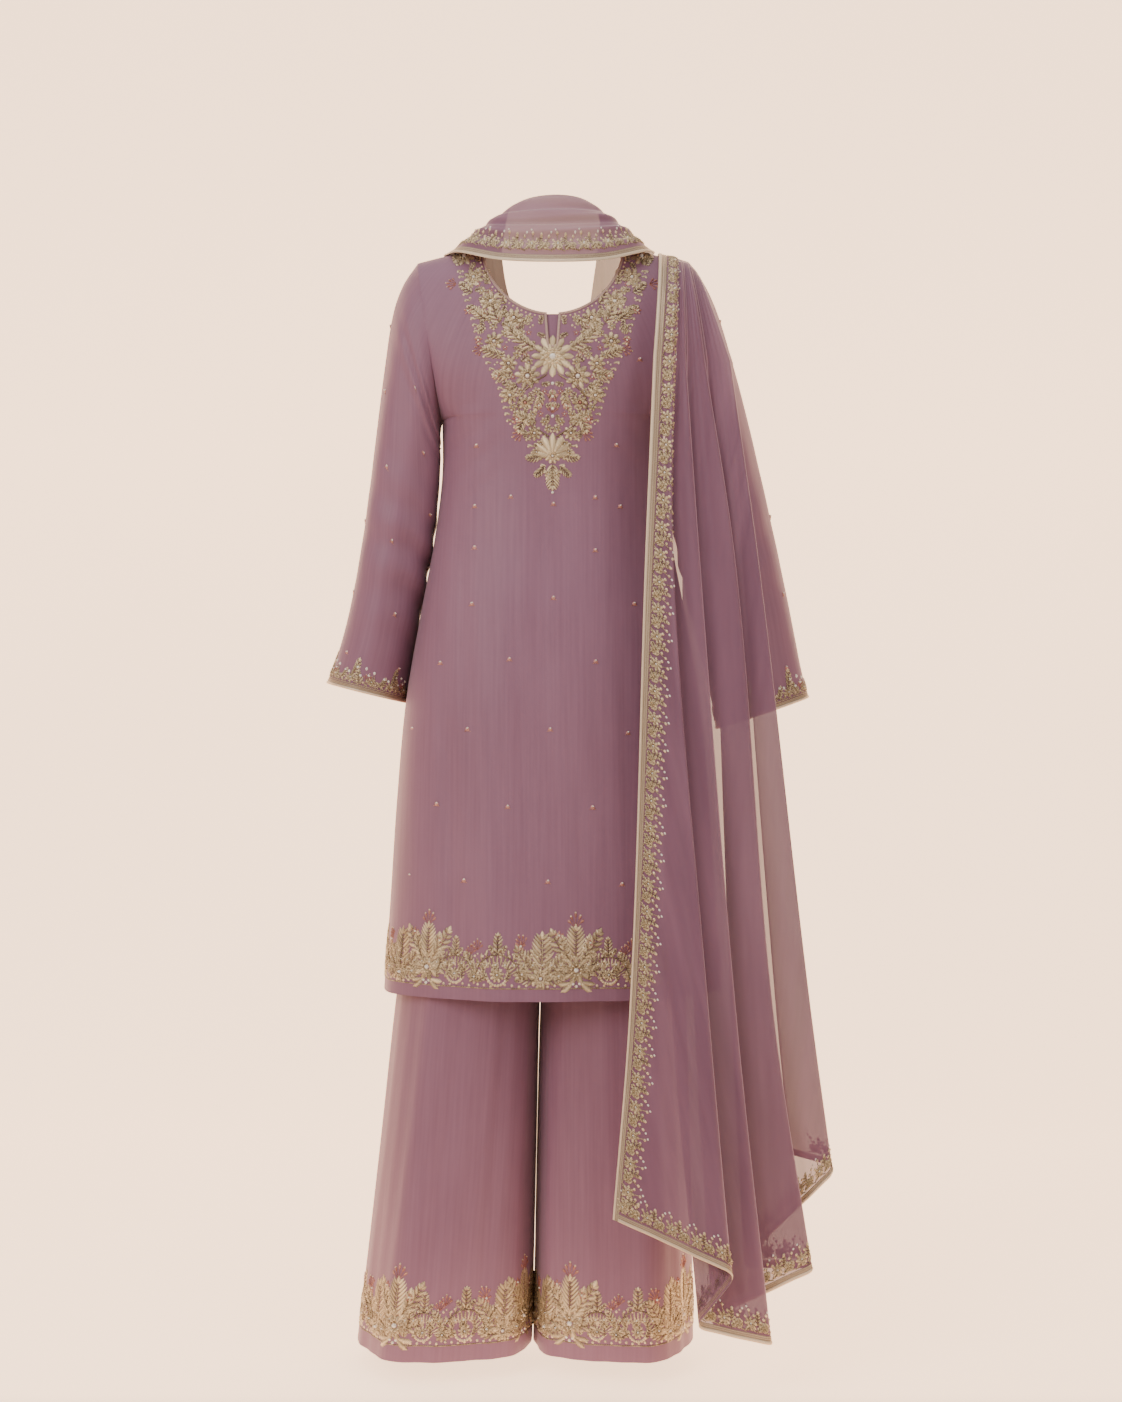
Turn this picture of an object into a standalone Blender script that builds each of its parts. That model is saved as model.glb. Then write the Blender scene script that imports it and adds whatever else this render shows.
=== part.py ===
"""Kurta palazzo set with its dupatta, worn and seen from behind, as hollow cloth with no wearer.

Metres, +Z up. The wearer faces +Y, so -Y is the back and +X is the wearer's right. The origin lies
midway between the shoulder seams, at the height of their neck ends: that is where a wearer holds the set up.

Every cloth piece is a wall. Its outer face is a grid of points worked out from the sizes below, and its
inner face is that grid moved in by the cloth's thickness.
"""

import math

import bpy
import numpy as np

# Driving sizes of the kurta
CLOTH = 0.0015
SEAM = 0.0003
HEM_Z = -1.000
UNDERARM_Z = -0.235
TIP_Z = -0.020
TIP_X = 0.183
UNDERARM_X = 0.150
ARMHOLE_DEPTH = 0.072
NECK_X = 0.093
BACK_NECK_Z = -0.102
FRONT_NECK_Z = -0.088
SLIT_TOP = 0.0078
SLIT_FOOT = 0.0045
SLIT_Z = -0.146
SQUARENESS = 2.2
BLADE_POWER = 2.6
CHEST_POWER = 2.0
SEAM_REACH = 1.25
PIPING = 0.0035
PIPING_THICK = 0.0012

# Kurta trunk below the underarm: how wide and how deep each level is
KURTA_COLUMNS = ("z", "half_width", "back", "front")
KURTA_SECTIONS = (
    (-1.000, 0.2285, 0.155, 0.150),
    (-0.884, 0.2203, 0.149, 0.143),
    (-0.748, 0.2115, 0.141, 0.135),
    (-0.612, 0.1990, 0.134, 0.126),
    (-0.500, 0.1800, 0.122, 0.119),
    (-0.394, 0.1605, 0.105, 0.117),
    (-0.306, 0.1500, 0.098, 0.126),
    (-0.235, 0.1500, 0.100, 0.128),
)

# Soft folds that hang in the kurta: angle round the body from the centre, depth at the hem, half width
FOLD_COLUMNS = ("angle", "depth", "spread", "top_z")
BACK_FOLDS = (
    (-64, 0.0050, 11, -0.45),
    (-38, -0.0035, 10, -0.40),
    (-14, 0.0030, 9, -0.38),
    (12, -0.0035, 10, -0.36),
    (34, 0.0045, 10, -0.42),
    (60, -0.0045, 11, -0.50),
)
FRONT_FOLDS = (
    (-58, 0.0045, 11, -0.42),
    (-30, -0.0035, 11, -0.34),
    (-4, 0.0035, 11, -0.32),
    (26, -0.0040, 11, -0.34),
    (55, 0.0050, 11, -0.42),
)

# Sleeves: the inner and outer point of each ring, its half depth and how far forward it lies
SLEEVE_COLUMNS = ("inner_x", "inner_z", "outer_x", "outer_z", "half_depth", "forward")
LEFT_SLEEVE = (
    (0.1500, -0.235, 0.1830, -0.020, 0.072, 0.000),
    (0.1518, -0.246, 0.2030, -0.053, 0.074, 0.000),
    (0.1522, -0.268, 0.2170, -0.096, 0.072, 0.001),
    (0.1530, -0.300, 0.2280, -0.163, 0.068, 0.003),
    (0.1568, -0.345, 0.2390, -0.240, 0.064, 0.005),
    (0.1636, -0.400, 0.2500, -0.320, 0.061, 0.007),
    (0.1748, -0.460, 0.2620, -0.400, 0.060, 0.009),
    (0.1880, -0.530, 0.2780, -0.485, 0.060, 0.011),
    (0.1962, -0.580, 0.2950, -0.550, 0.060, 0.012),
    (0.2016, -0.616, 0.3090, -0.589, 0.060, 0.012),
)
RIGHT_SLEEVE = (
    (0.1500, -0.235, 0.1830, -0.020, 0.072, 0.000),
    (0.1520, -0.247, 0.2050, -0.047, 0.073, 0.000),
    (0.1530, -0.270, 0.2240, -0.087, 0.070, 0.001),
    (0.1545, -0.303, 0.2430, -0.148, 0.066, 0.003),
    (0.1595, -0.350, 0.2620, -0.220, 0.061, 0.005),
    (0.1690, -0.410, 0.2830, -0.310, 0.056, 0.007),
    (0.1830, -0.475, 0.3030, -0.400, 0.053, 0.009),
    (0.2010, -0.550, 0.3220, -0.490, 0.051, 0.011),
    (0.2150, -0.610, 0.3380, -0.570, 0.050, 0.012),
    (0.2225, -0.652, 0.3480, -0.609, 0.050, 0.012),
)
CUFF_TAPE = 0.008
TAPE = 0.0008

# Palazzo below the crotch: the inner and outer line of each leg, and the depths of its back and front
LEG_COLUMNS = ("z", "left_in", "left_out", "right_in", "right_out", "back", "front")
LEG_SECTIONS = (
    (-1.4755, -0.0280, -0.2650, -0.0265, 0.1900, 0.118, 0.108),
    (-1.3500, -0.0253, -0.2500, -0.0241, 0.1885, 0.115, 0.106),
    (-1.2000, -0.0222, -0.2330, -0.0212, 0.1860, 0.112, 0.104),
    (-1.0300, -0.0182, -0.2145, -0.0172, 0.1810, 0.112, 0.103),
    (-0.8700, -0.0112, -0.1940, -0.0102, 0.1740, 0.112, 0.103),
    (-0.6900, -0.0040, -0.1780, -0.0040, 0.1700, 0.116, 0.104),
)
LEG_HEM_Z = -1.4755
CROTCH_Z = -0.690
MERGE_Z = -0.600
WAIST_Z = -0.375
BAND_TOP_Z = -0.337
# Palazzo above the crotch
HIP_COLUMNS = ("z", "half_width", "back", "front")
HIP_SECTIONS = (
    (-0.690, 0.1740, 0.1160, 0.1040),
    (-0.600, 0.1740, 0.1305, 0.1080),
    (-0.500, 0.1560, 0.1130, 0.1020),
    (-0.430, 0.1360, 0.0950, 0.0930),
    (-0.375, 0.1220, 0.0850, 0.0850),
)
LEG_FOLDS = (
    (38, 0.0055, 13, -0.80),
    (78, -0.0060, 14, -0.75),
    (118, 0.0065, 14, -0.80),
    (152, -0.0050, 12, -0.85),
)

# Dupatta: the fold lines of the stretch that hangs down the back, from its bordered edge outwards.
# share is how far across the cloth the line lies; x and y are where it is at the shoulder ridge, at the
# blade, at the chest, at the knee and at the hem, and z_hem is how low its hem hangs.
DUPATTA = 0.0010
BLADE_Z = -0.166
CHEST_Z = -0.420
KNEE_Z = -1.020
PLEAT_COLUMNS = (
    "share", "x_ridge", "x_blade", "x_chest", "x_knee", "x_hem",
    "y_blade", "y_chest", "y_knee", "y_hem", "z_hem",
)
PLEATS = (
    (0.000, 0.1425, 0.1300, 0.1185, 0.0930, 0.0710, -0.1240, -0.146, -0.200, -0.222, -1.2590),
    (0.175, 0.1640, 0.1590, 0.1580, 0.2050, 0.2330, -0.1230, -0.145, -0.198, -0.215, -1.3350),
    (0.270, 0.1665, 0.1610, 0.1300, 0.1450, 0.1780, -0.1165, -0.135, -0.182, -0.194, -1.4080),
    (0.385, 0.1725, 0.1740, 0.1945, 0.2430, 0.2890, -0.1120, -0.130, -0.172, -0.176, -1.4360),
    (0.480, 0.1750, 0.1760, 0.1650, 0.1750, 0.1950, -0.1050, -0.120, -0.156, -0.157, -1.4100),
    (0.640, 0.1805, 0.2000, 0.2410, 0.2920, 0.3450, -0.0990, -0.115, -0.146, -0.140, -1.3460),
    (0.745, 0.1835, 0.2025, 0.2080, 0.2250, 0.2410, -0.0920, -0.106, -0.128, -0.121, -1.3500),
    (0.925, 0.1910, 0.2350, 0.2720, 0.3440, 0.3745, -0.0850, -0.100, -0.116, -0.103, -1.2250),
    (1.000, 0.1950, 0.2390, 0.2480, 0.2900, 0.3090, -0.0750, -0.090, -0.096, -0.085, -1.2100),
)
PLEAT_TURN = 0.016
PLEAT_GAP = 0.006
RIDGE_LIFT = 0.0019
EDGE_TAPE = 0.011

# Dupatta round the neck, from the wearer's right shoulder behind the neck to the left one:
# the neck edge and the bordered edge of each section
BAND_COLUMNS = ("in_x", "in_y", "in_z", "out_x", "out_y", "out_z", "bulge")
COLLAR = (
    (0.0640, -0.0002, 0.0380, 0.1385, -0.0002, -0.0045, 0.006),
    (0.0560, -0.0300, 0.0520, 0.1230, -0.0560, -0.0150, 0.008),
    (0.0350, -0.0500, 0.0590, 0.0700, -0.0900, -0.0330, 0.007),
    (0.0030, -0.0570, 0.0610, 0.0000, -0.1010, -0.0380, 0.006),
    (-0.0320, -0.0500, 0.0580, -0.0700, -0.0900, -0.0330, 0.007),
    (-0.0560, -0.0300, 0.0500, -0.1250, -0.0560, -0.0160, 0.008),
    (-0.0640, -0.0002, 0.0360, -0.1480, -0.0002, -0.0085, 0.006),
)
# The same cloth going on across the front, from the left shoulder to the right one
COWL = (
    (-0.0640, 0.0002, 0.0360, -0.1480, 0.0002, -0.0085, 0.006),
    (-0.0700, 0.0500, -0.0050, -0.1420, 0.0880, -0.0600, 0.010),
    (-0.0520, 0.0980, -0.0650, -0.0950, 0.1400, -0.1700, 0.014),
    (0.0050, 0.1300, -0.1050, 0.0000, 0.1680, -0.2500, 0.016),
    (0.0650, 0.1360, -0.0980, 0.0950, 0.1630, -0.2150, 0.014),
    (0.1180, 0.1080, -0.0500, 0.1600, 0.1280, -0.1200, 0.008),
    (0.1350, 0.0560, -0.0070, 0.1800, 0.0700, -0.0560, 0.010),
    (0.1425, 0.0002, -0.0080, 0.1950, 0.0002, -0.0322, 0.022),
)
# The end that hangs in front of the right shoulder, from the ridge down: where it starts and stops
FRONT_END_COLUMNS = ("z_in", "z_out", "x_in", "x_out", "y")
FRONT_END = (
    (0.0380, -0.0045, 0.0640, 0.1385, 0.0002),
    (0.0120, -0.0120, 0.0620, 0.1330, 0.0480),
    (-0.0700, -0.0700, 0.0500, 0.1350, 0.0980),
    (-0.1600, -0.1600, 0.0400, 0.1330, 0.1230),
    (-0.3000, -0.3000, 0.0300, 0.1400, 0.1430),
    (-0.4600, -0.4600, 0.0150, 0.1550, 0.1450),
    (-0.6200, -0.6200, 0.0000, 0.1700, 0.1480),
)
BAND_RIPPLES = 4
BAND_RIPPLE_DEPTH = 0.0035

LILAC = (0.330, 0.190, 0.225, 1.0)
SHEER_LILAC = (0.300, 0.170, 0.205, 1.0)
GOLD_THREAD = (0.560, 0.420, 0.270, 1.0)


def clear_scene():
    for thing in list(bpy.data.objects):
        bpy.data.objects.remove(thing, do_unlink=True)


def finish_of(name, colour, roughness, metallic=0.0):
    """A Principled material of that colour."""
    made = bpy.data.materials.new(name)
    made.use_nodes = True
    shader = made.node_tree.nodes["Principled BSDF"]
    shader.inputs["Base Color"].default_value = colour
    shader.inputs["Roughness"].default_value = roughness
    shader.inputs["Metallic"].default_value = metallic
    return made


def column(table, names, name):
    """One named column of a table, as an array."""
    return np.array([row[names.index(name)] for row in table], float)


def curve(at, keys, values):
    """A smooth curve through (keys, values): cubic between neighbours, its slope there the mean of both sides.
    The keys rise; keys and values are one list for all points, or one for each point."""
    at = np.asarray(at, float)
    k, v = (np.asarray(a, float) for a in (keys, values))
    k, v = (np.reshape(a, a.shape + (1,) * (at.ndim + 1 - a.ndim)) for a in (k, v))
    k, v = (np.broadcast_to(a, (len(keys),) + at.shape) for a in (k, v))
    steps = np.diff(v, axis=0) / np.diff(k, axis=0)
    slopes = np.concatenate([steps[:1], (steps[1:] + steps[:-1]) / 2, steps[-1:]])
    at = np.clip(at, k[0], k[-1])
    i = np.clip(np.sum(at >= k, axis=0) - 1, 0, len(keys) - 2)[None]
    k0, k1, v0, v1, s0, s1 = (
        np.take_along_axis(a, j, 0)[0]
        for a, j in ((k, i), (k, i + 1), (v, i), (v, i + 1), (slopes, i), (slopes, i + 1))
    )
    u = (at - k0) / (k1 - k0)
    rise = u * u * (3 - 2 * u)
    bend = (k1 - k0) * (u * (1 - u) ** 2 * s0 - u * u * (1 - u) * s1)
    return v0 * (1 - rise) + v1 * rise + bend


def unit(vectors):
    return vectors / np.maximum(np.linalg.norm(vectors, axis=-1, keepdims=True), 1e-12)


def along(grid, axis, around):
    """The direction in which a grid of points runs along one of its axes."""
    if around:
        return np.roll(grid, -1, axis) - np.roll(grid, 1, axis)
    return np.gradient(grid, axis=axis)


def face_normals(grid, around=False):
    """Unit normals of a grid of points: the way along a row, crossed with the way up a column."""
    return unit(np.cross(along(grid, 1, around), along(grid, 0, False)))


def facing(normals, way):
    """The normals of one sheet, all of them turned to the side that the way points to."""
    return unit(normals) * (1.0 if np.sum(normals * way) > 0 else -1.0)


def wall(name, grid, normals, thickness, finish, around=False):
    """A closed wall: the grid is its outer face, and the grid moved in by the thickness its inner one."""
    if np.sum(face_normals(grid, around) * normals) < 0:
        grid, normals = grid[::-1], normals[::-1]
    rows, columns = grid.shape[:2]
    points = np.concatenate(
        [grid.reshape(-1, 3), (grid - normals * thickness).reshape(-1, 3)]
    )
    inner = rows * columns
    spans = columns if around else columns - 1
    faces = []
    for r in range(rows - 1):
        for c in range(spans):
            d = (c + 1) % columns
            a, b = r * columns + c, r * columns + d
            e, f = a + columns, b + columns
            faces += [(a, b, f), (a, f, e)]
            faces += [(inner + a, inner + f, inner + b), (inner + a, inner + e, inner + f)]
    foot, head = 0, (rows - 1) * columns
    for c in range(spans):
        d = (c + 1) % columns
        faces += [(foot + c, inner + foot + c, foot + d), (foot + d, inner + foot + c, inner + foot + d)]
        faces += [(head + c, head + d, inner + head + c), (head + d, inner + head + d, inner + head + c)]
    if not around:
        for r in range(rows - 1):
            a, b = r * columns, (r + 1) * columns
            faces += [(a, b, inner + a), (b, inner + b, inner + a)]
            a, b = a + columns - 1, b + columns - 1
            faces += [(a, inner + a, b), (b, inner + a, inner + b)]
    mesh = bpy.data.meshes.new(name)
    mesh.from_pydata(points.tolist(), [], faces)
    mesh.materials.append(finish)
    mesh.shade_smooth()
    mesh.set_sharp_from_angle(angle=math.radians(50))
    thing = bpy.data.objects.new(name, mesh)
    bpy.context.scene.collection.objects.link(thing)
    return thing


def superellipse(angle):
    """(across, deep) of a rounded section at an angle in radians: 0 is its middle and a right angle its side."""
    power = 2 / SQUARENESS
    sine, cosine = np.sin(angle), np.cos(angle)
    return np.sign(sine) * np.abs(sine) ** power, np.abs(cosine) ** power


def fold_depth(folds, angle, z, hem_z):
    """How far the hanging folds push the cloth out at an angle in degrees: each grows from its top to the hem."""
    pushed = np.zeros(np.broadcast(angle, z).shape)
    for middle, depth, spread, top in folds:
        grown = np.clip((top - z) / (top - hem_z), 0, 1) ** 1.3
        pushed = pushed + depth * grown * np.exp(-(((angle - middle) / spread) ** 2))
    return pushed


def ridge_z(x):
    """Height of the shoulder seam: level at the neck, sloping down to the tip."""
    beyond = np.clip((np.abs(x) - NECK_X) / (TIP_X - NECK_X), 0, None)
    return TIP_Z * beyond**1.2


def armhole_x(z):
    """Half width between the armhole seams at a height: both seams lie in one slanting plane."""
    share = np.clip((z - UNDERARM_Z) / (TIP_Z - UNDERARM_Z), 0, 1)
    return UNDERARM_X + (TIP_X - UNDERARM_X) * share


def chest_y(x, z, side):
    """Depth of the cloth over the blades (side -1) or the chest (side 1), from the underarm to the shoulder seam."""
    full, power = (KURTA_SECTIONS[-1][2], BLADE_POWER) if side < 0 else (KURTA_SECTIONS[-1][3], CHEST_POWER)
    up = np.clip((z - UNDERARM_Z) / (ridge_z(x) - UNDERARM_Z), 0, 1)
    at_seam = ARMHOLE_DEPTH * np.sqrt(np.clip(4 * up * (1 - up), 0, None))
    middle = full * np.sqrt(np.clip(1 - up**power, 0, None))
    across = np.clip(np.abs(x) / armhole_x(z), 0, 1)
    level = (1 - across**SQUARENESS) ** (1 / SQUARENESS)
    return middle * level + at_seam * (1 - level) ** (1 + (SEAM_REACH - 1) * np.clip(4 * (1 - up), 0, 1))


def body_y(x, z, side):
    """Depth of the kurta without its folds at any height from hem to shoulder."""
    keys = column(KURTA_SECTIONS, KURTA_COLUMNS, "z")
    wide = curve(z, keys, column(KURTA_SECTIONS, KURTA_COLUMNS, "half_width"))
    deep = curve(z, keys, column(KURTA_SECTIONS, KURTA_COLUMNS, "back" if side < 0 else "front"))
    level = deep * (1 - np.clip(np.abs(x) / wide, 0, 1) ** SQUARENESS) ** (1 / SQUARENESS)
    return np.where(z < UNDERARM_Z, level, chest_y(x, z, side))


def neckline(neck_z, slit, spans, shoulder_spans):
    """The top edge of half a panel, from the centre out: the slit if there is one, the neck's curve, the shoulder."""
    turn = np.linspace(0, math.pi / 2, spans + 1)
    x, z = NECK_X * np.sin(turn), neck_z * np.cos(turn)
    if slit:
        start = math.asin(SLIT_TOP / NECK_X)
        turn = np.linspace(start, math.pi / 2, spans + 1)
        x, z = NECK_X * np.sin(turn), neck_z * np.cos(turn)
        side_x = [0.0, SLIT_FOOT, (SLIT_FOOT + SLIT_TOP) / 2]
        side_z = [SLIT_Z, SLIT_Z, (SLIT_Z + z[0]) / 2]
        x, z = np.concatenate([side_x, x]), np.concatenate([side_z, z])
    out = np.linspace(NECK_X, TIP_X, shoulder_spans + 1)[1:]
    return np.concatenate([x, out]), np.concatenate([z, ridge_z(out)])


def mirrored(half, sign):
    """A half row of values from the centre out, made whole; sign is -1 for x and 1 for the rest."""
    return np.concatenate([sign * half[:0:-1], half])


LOW_LEVELS = np.array([-1.0, -0.90, -0.80, -0.70, -0.61, -0.52, -0.44, -0.37, -0.30])
ARM_STEPS = 9


def kurta_panel(name, side, neck_z, slit, folds, spans, finish):
    """The back (side -1) or the front (side 1): hem to underarm in level sections, then up to neck and shoulder."""
    top_x, top_z = neckline(neck_z, slit, spans, 3)
    count = len(top_x)
    angles = np.linspace(0, 90, count)
    if slit:
        angles = np.concatenate([[0, 3, 6], np.linspace(10, 90, count - 3)])
    angle = mirrored(angles, -1)
    top_x, top_z = mirrored(top_x, -1), mirrored(top_z, 1)
    keys = column(KURTA_SECTIONS, KURTA_COLUMNS, "z")
    wide = column(KURTA_SECTIONS, KURTA_COLUMNS, "half_width")
    deep = column(KURTA_SECTIONS, KURTA_COLUMNS, "back" if side < 0 else "front")
    across, depth = superellipse(np.radians(angle))

    z = np.repeat(LOW_LEVELS[:, None], len(angle), 1)
    pushed = fold_depth(folds, angle[None, :], z, HEM_Z)
    x = (curve(z, keys, wide) + pushed) * across
    y = (curve(z, keys, deep) + pushed) * depth
    low = np.stack([x, side * y, z], -1)

    turn = np.linspace(0, math.pi, ARM_STEPS + 1)[:, None]
    up = (1 - np.cos(turn)) / 2
    z = UNDERARM_Z + (top_z - UNDERARM_Z) * up
    top_share = top_x / armhole_x(top_z)
    x = (across + (top_share - across) * up**1.5) * armhole_x(z)
    high = np.stack([x, side * chest_y(x, z, side), z], -1)

    grid = np.concatenate([low, high])
    grid[..., 1] += side * SEAM / 2
    normals = facing(face_normals(grid), np.array([0, side, 0]))
    normals[: len(LOW_LEVELS) + 1, [0, -1], 1] = 0
    normals[-1, np.abs(top_x) >= NECK_X - 1e-6, 1] = 0
    return wall(name, grid, unit(normals), CLOTH, finish)


def mitred(x, z, width):
    """A line in the x-z plane moved to its right by a width, with its corners mitred."""
    way = unit(np.diff(np.stack([x, z], -1), axis=0))
    right = np.stack([way[:, 1], -way[:, 0]], -1)
    corner = unit(np.concatenate([right[:1], right[1:] + right[:-1], right[-1:]]))
    reach = width / np.maximum(np.sum(corner * np.concatenate([right[:1], right]), -1), 0.5)
    return x + corner[:, 0] * reach, z + corner[:, 1] * reach


def neck_piping(name, side, neck_z, slit, finish):
    """The gold piping on the panel's outer face along the neckline, and along both sides of the slit."""
    x, z = neckline(neck_z, slit, 14, 1)
    x, z = mirrored(x[:-1], -1)[::-1], mirrored(z[:-1], 1)[::-1]
    far_x, far_z = mitred(x, z, PIPING)
    rows = []
    for px, pz in ((x, z), (far_x, far_z)):
        rows.append(np.stack([px, side * (chest_y(px, np.minimum(pz, ridge_z(px)), side) + SEAM / 2), pz], -1))
    grid = np.stack(rows)
    normals = facing(face_normals(grid), np.array([0, side, 0]))
    normals[:, [0, -1], 1] = 0
    normals = unit(normals)
    wall(name, grid + normals * (SEAM + PIPING_THICK), normals, PIPING_THICK, finish)


def slit_underlap(finish):
    """The narrow strip of the kurta's cloth set behind the slit, with its top level with the neckline."""
    x, z = np.meshgrid(np.linspace(-0.016, 0.016, 7), np.linspace(-0.164, -0.1035, 7))
    grid = np.stack([x, -(chest_y(x, z, -1) + SEAM / 2), z], -1)
    normals = facing(face_normals(grid), np.array([0, -1, 0]))
    wall("slit_underlap", grid - normals * (CLOTH + 2 * SEAM), normals, CLOTH, finish)


def sleeve(name, sign, table, finish):
    """A tube of rings from the armhole to the cuff. Column 0 is under the arm, and they go round by the back."""
    columns = 2 * ARM_STEPS
    turn = np.linspace(0, 2 * math.pi, columns, endpoint=False)
    inner = np.stack([column(table, SLEEVE_COLUMNS, "inner_x"), column(table, SLEEVE_COLUMNS, "inner_z")], -1)
    outer = np.stack([column(table, SLEEVE_COLUMNS, "outer_x"), column(table, SLEEVE_COLUMNS, "outer_z")], -1)
    deep = column(table, SLEEVE_COLUMNS, "half_depth")[:, None]
    forward = column(table, SLEEVE_COLUMNS, "forward")[:, None]
    middle, half = (inner + outer) / 2, (outer - inner) / 2
    flat = middle[:, None, :] - half[:, None, :] * np.cos(turn)[None, :, None]
    y = forward - deep * np.sin(turn)
    y[0] -= np.sign(np.sin(turn).round(9)) * SEAM / 2
    grid = np.stack([sign * flat[..., 0], y, flat[..., 1]], -1)
    slant = unit(half[0])
    grid[0] += SEAM * np.array([sign * slant[1], 0, -slant[0]])
    centres = np.stack([sign * middle[:, 0], forward[:, 0], middle[:, 1]], -1)[:, None, :]
    normals = facing(face_normals(grid, around=True), grid - centres)
    normals[0] = unit(grid[0] - centres[0])
    wall(name, grid, normals, CLOTH, finish, around=True)
    return grid, normals


def cuff_tape(name, grid, normals, finish):
    """The gold tape sewn round the cuff, on the sleeve's outer face."""
    up = unit(grid[-2] - grid[-1])
    rows = np.stack([grid[-1] + up * CUFF_TAPE, grid[-1]])
    lift = normals[-1] * (SEAM + TAPE)
    return wall(name, rows + lift, np.stack([normals[-1]] * 2), TAPE, finish, around=True)


LEG_LEVELS = np.array([-1.4755, -1.38, -1.27, -1.15, -1.03, -0.92, -0.81, -0.69])
RISE_LEVELS = np.array([-0.655, -0.60, -0.54, -0.48, -0.42, -0.375])


def leg_panel(name, hand, side, finish):
    """A quarter of the palazzo: one leg's back or front, from the hem up past the crotch to the waist."""
    keys = column(LEG_SECTIONS, LEG_COLUMNS, "z")
    which = "left" if hand < 0 else "right"
    depth_of = "back" if side < 0 else "front"
    spans = 10
    rows = []
    for z in np.concatenate([LEG_LEVELS, RISE_LEVELS]):
        crotch_x = column(LEG_SECTIONS, LEG_COLUMNS, "left_in")[-1]
        if z <= CROTCH_Z:
            near = curve(z, keys, column(LEG_SECTIONS, LEG_COLUMNS, which + "_in"))
            far = curve(z, keys, column(LEG_SECTIONS, LEG_COLUMNS, which + "_out"))
            deep = curve(z, keys, column(LEG_SECTIONS, LEG_COLUMNS, depth_of))
            start, half, mid = 0.0, abs(far - near) / 2, near + (far - near) / 2
        else:
            hip = column(HIP_SECTIONS, HIP_COLUMNS, "z")
            wide = curve(z, hip, column(HIP_SECTIONS, HIP_COLUMNS, "half_width"))
            deep = curve(z, hip, column(HIP_SECTIONS, HIP_COLUMNS, depth_of))
            rise = np.clip((z - CROTCH_Z) / (MERGE_Z - CROTCH_Z), 0, 1)
            near = crotch_x * (1 - rise)
            shift = wide / 2 * (1 - rise)
            half = wide - shift
            start = math.acos((shift / half) ** (SQUARENESS / 2))
            mid = near + hand * shift
        turn = np.linspace(start, math.pi, spans + 1)
        across, out = superellipse(turn - math.pi / 2)
        pushed = fold_depth(LEG_FOLDS, np.degrees(turn), np.full(spans + 1, z), LEG_HEM_Z)
        x = mid + hand * (half + pushed) * across
        y = side * (deep + pushed) * out
        if z > CROTCH_Z - 1e-6:
            x[0] = near + hand * SEAM / 2
        rows.append(np.stack([x, y + side * SEAM / 2, np.full(spans + 1, z)], -1))
    grid = np.stack(rows)
    normals = facing(face_normals(grid), np.array([0, side, 0]))
    normals[:, -1, 1] = 0
    in_leg = np.concatenate([LEG_LEVELS, RISE_LEVELS]) <= CROTCH_Z + 1e-6
    normals[in_leg, 0, 1] = 0
    normals[~in_leg, 0, 0] = 0
    return wall(name, grid, unit(normals), CLOTH, finish)


def waistband(finish):
    """The palazzo's gathered waistband, a plain ring above the leg panels."""
    turn = np.linspace(0, 2 * math.pi, 24, endpoint=False)
    across, deep = superellipse(turn)
    wide, back = HIP_SECTIONS[-1][1], HIP_SECTIONS[-1][2]
    rows = []
    for z in (WAIST_Z + SEAM, BAND_TOP_Z):
        y = np.where(np.cos(turn) >= 0, -back, back) * deep
        rows.append(np.stack([wide * across, y, np.full(24, z)], -1))
    grid = np.stack(rows)
    normals = facing(face_normals(grid, around=True), grid * np.array([1, 1, 0]))
    return wall("palazzo_waistband", grid, normals, 2 * CLOTH, finish, around=True)


def rounded(share, keys, values):
    """Straight runs between fold lines with the turns rounded: the mean of the run over a short stretch of cloth."""
    total = 0
    offsets = np.linspace(-PLEAT_TURN, PLEAT_TURN, 5)
    for offset in offsets:
        total = total + np.interp(np.clip(share + offset, 0, 1), keys, values)
    return total / len(offsets)


def pleat_gap(share, keys):
    """How far each layer stands off the middle of its pleat: the cloth steps back by the gap at every turn."""
    turned = sum(np.clip((share - key) / (2 * PLEAT_TURN) + 0.5, 0, 1) for key in keys[1:-1])
    return PLEAT_GAP * (turned - np.interp(share, keys[1:-1], np.arange(len(keys) - 2) + 0.5))


def dupatta_surface(share, drop):
    """The stretch down the back. share runs across the cloth and drop down it: 0 ridge, 1 blade, 2 hem."""
    keys = column(PLEATS, PLEAT_COLUMNS, "share")
    at = {name: rounded(share, keys, column(PLEATS, PLEAT_COLUMNS, name)) for name in PLEAT_COLUMNS[1:]}
    at["x_ridge"] = np.interp(share, keys, column(PLEATS, PLEAT_COLUMNS, "x_ridge"))
    gap = pleat_gap(share, keys) * (0.55 + 0.45 * np.clip(3 * drop - 3, 0, 1))
    ridge = ridge_top(at["x_ridge"]) + RIDGE_LIFT
    turn = np.clip(drop, 0, 1) * math.pi / 2
    z_over = BLADE_Z + (ridge - BLADE_Z) * np.cos(turn)
    y_over = (at["y_blade"] + gap) * np.sin(turn)
    x_over = at["x_ridge"] + (at["x_blade"] - at["x_ridge"]) * (1 - np.cos(turn))
    z_low = BLADE_Z + (at["z_hem"] - BLADE_Z) * np.clip(drop - 1, 0, 1)
    levels = np.stack([at["z_hem"]] + [np.full(share.shape, z) for z in (KNEE_Z, CHEST_Z, BLADE_Z)])
    names = ("hem", "knee", "chest", "blade")
    x_low = curve(z_low, levels, np.stack([at["x_" + n] for n in names]))
    y_low = curve(z_low, levels, np.stack([at["y_" + n] for n in names])) + gap
    over = drop <= 1
    x, y, z = np.where(over, x_over, x_low), np.where(over, y_over, y_low), np.where(over, z_over, z_low)
    return np.stack([x, y - SEAM / 2, z], -1)


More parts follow.
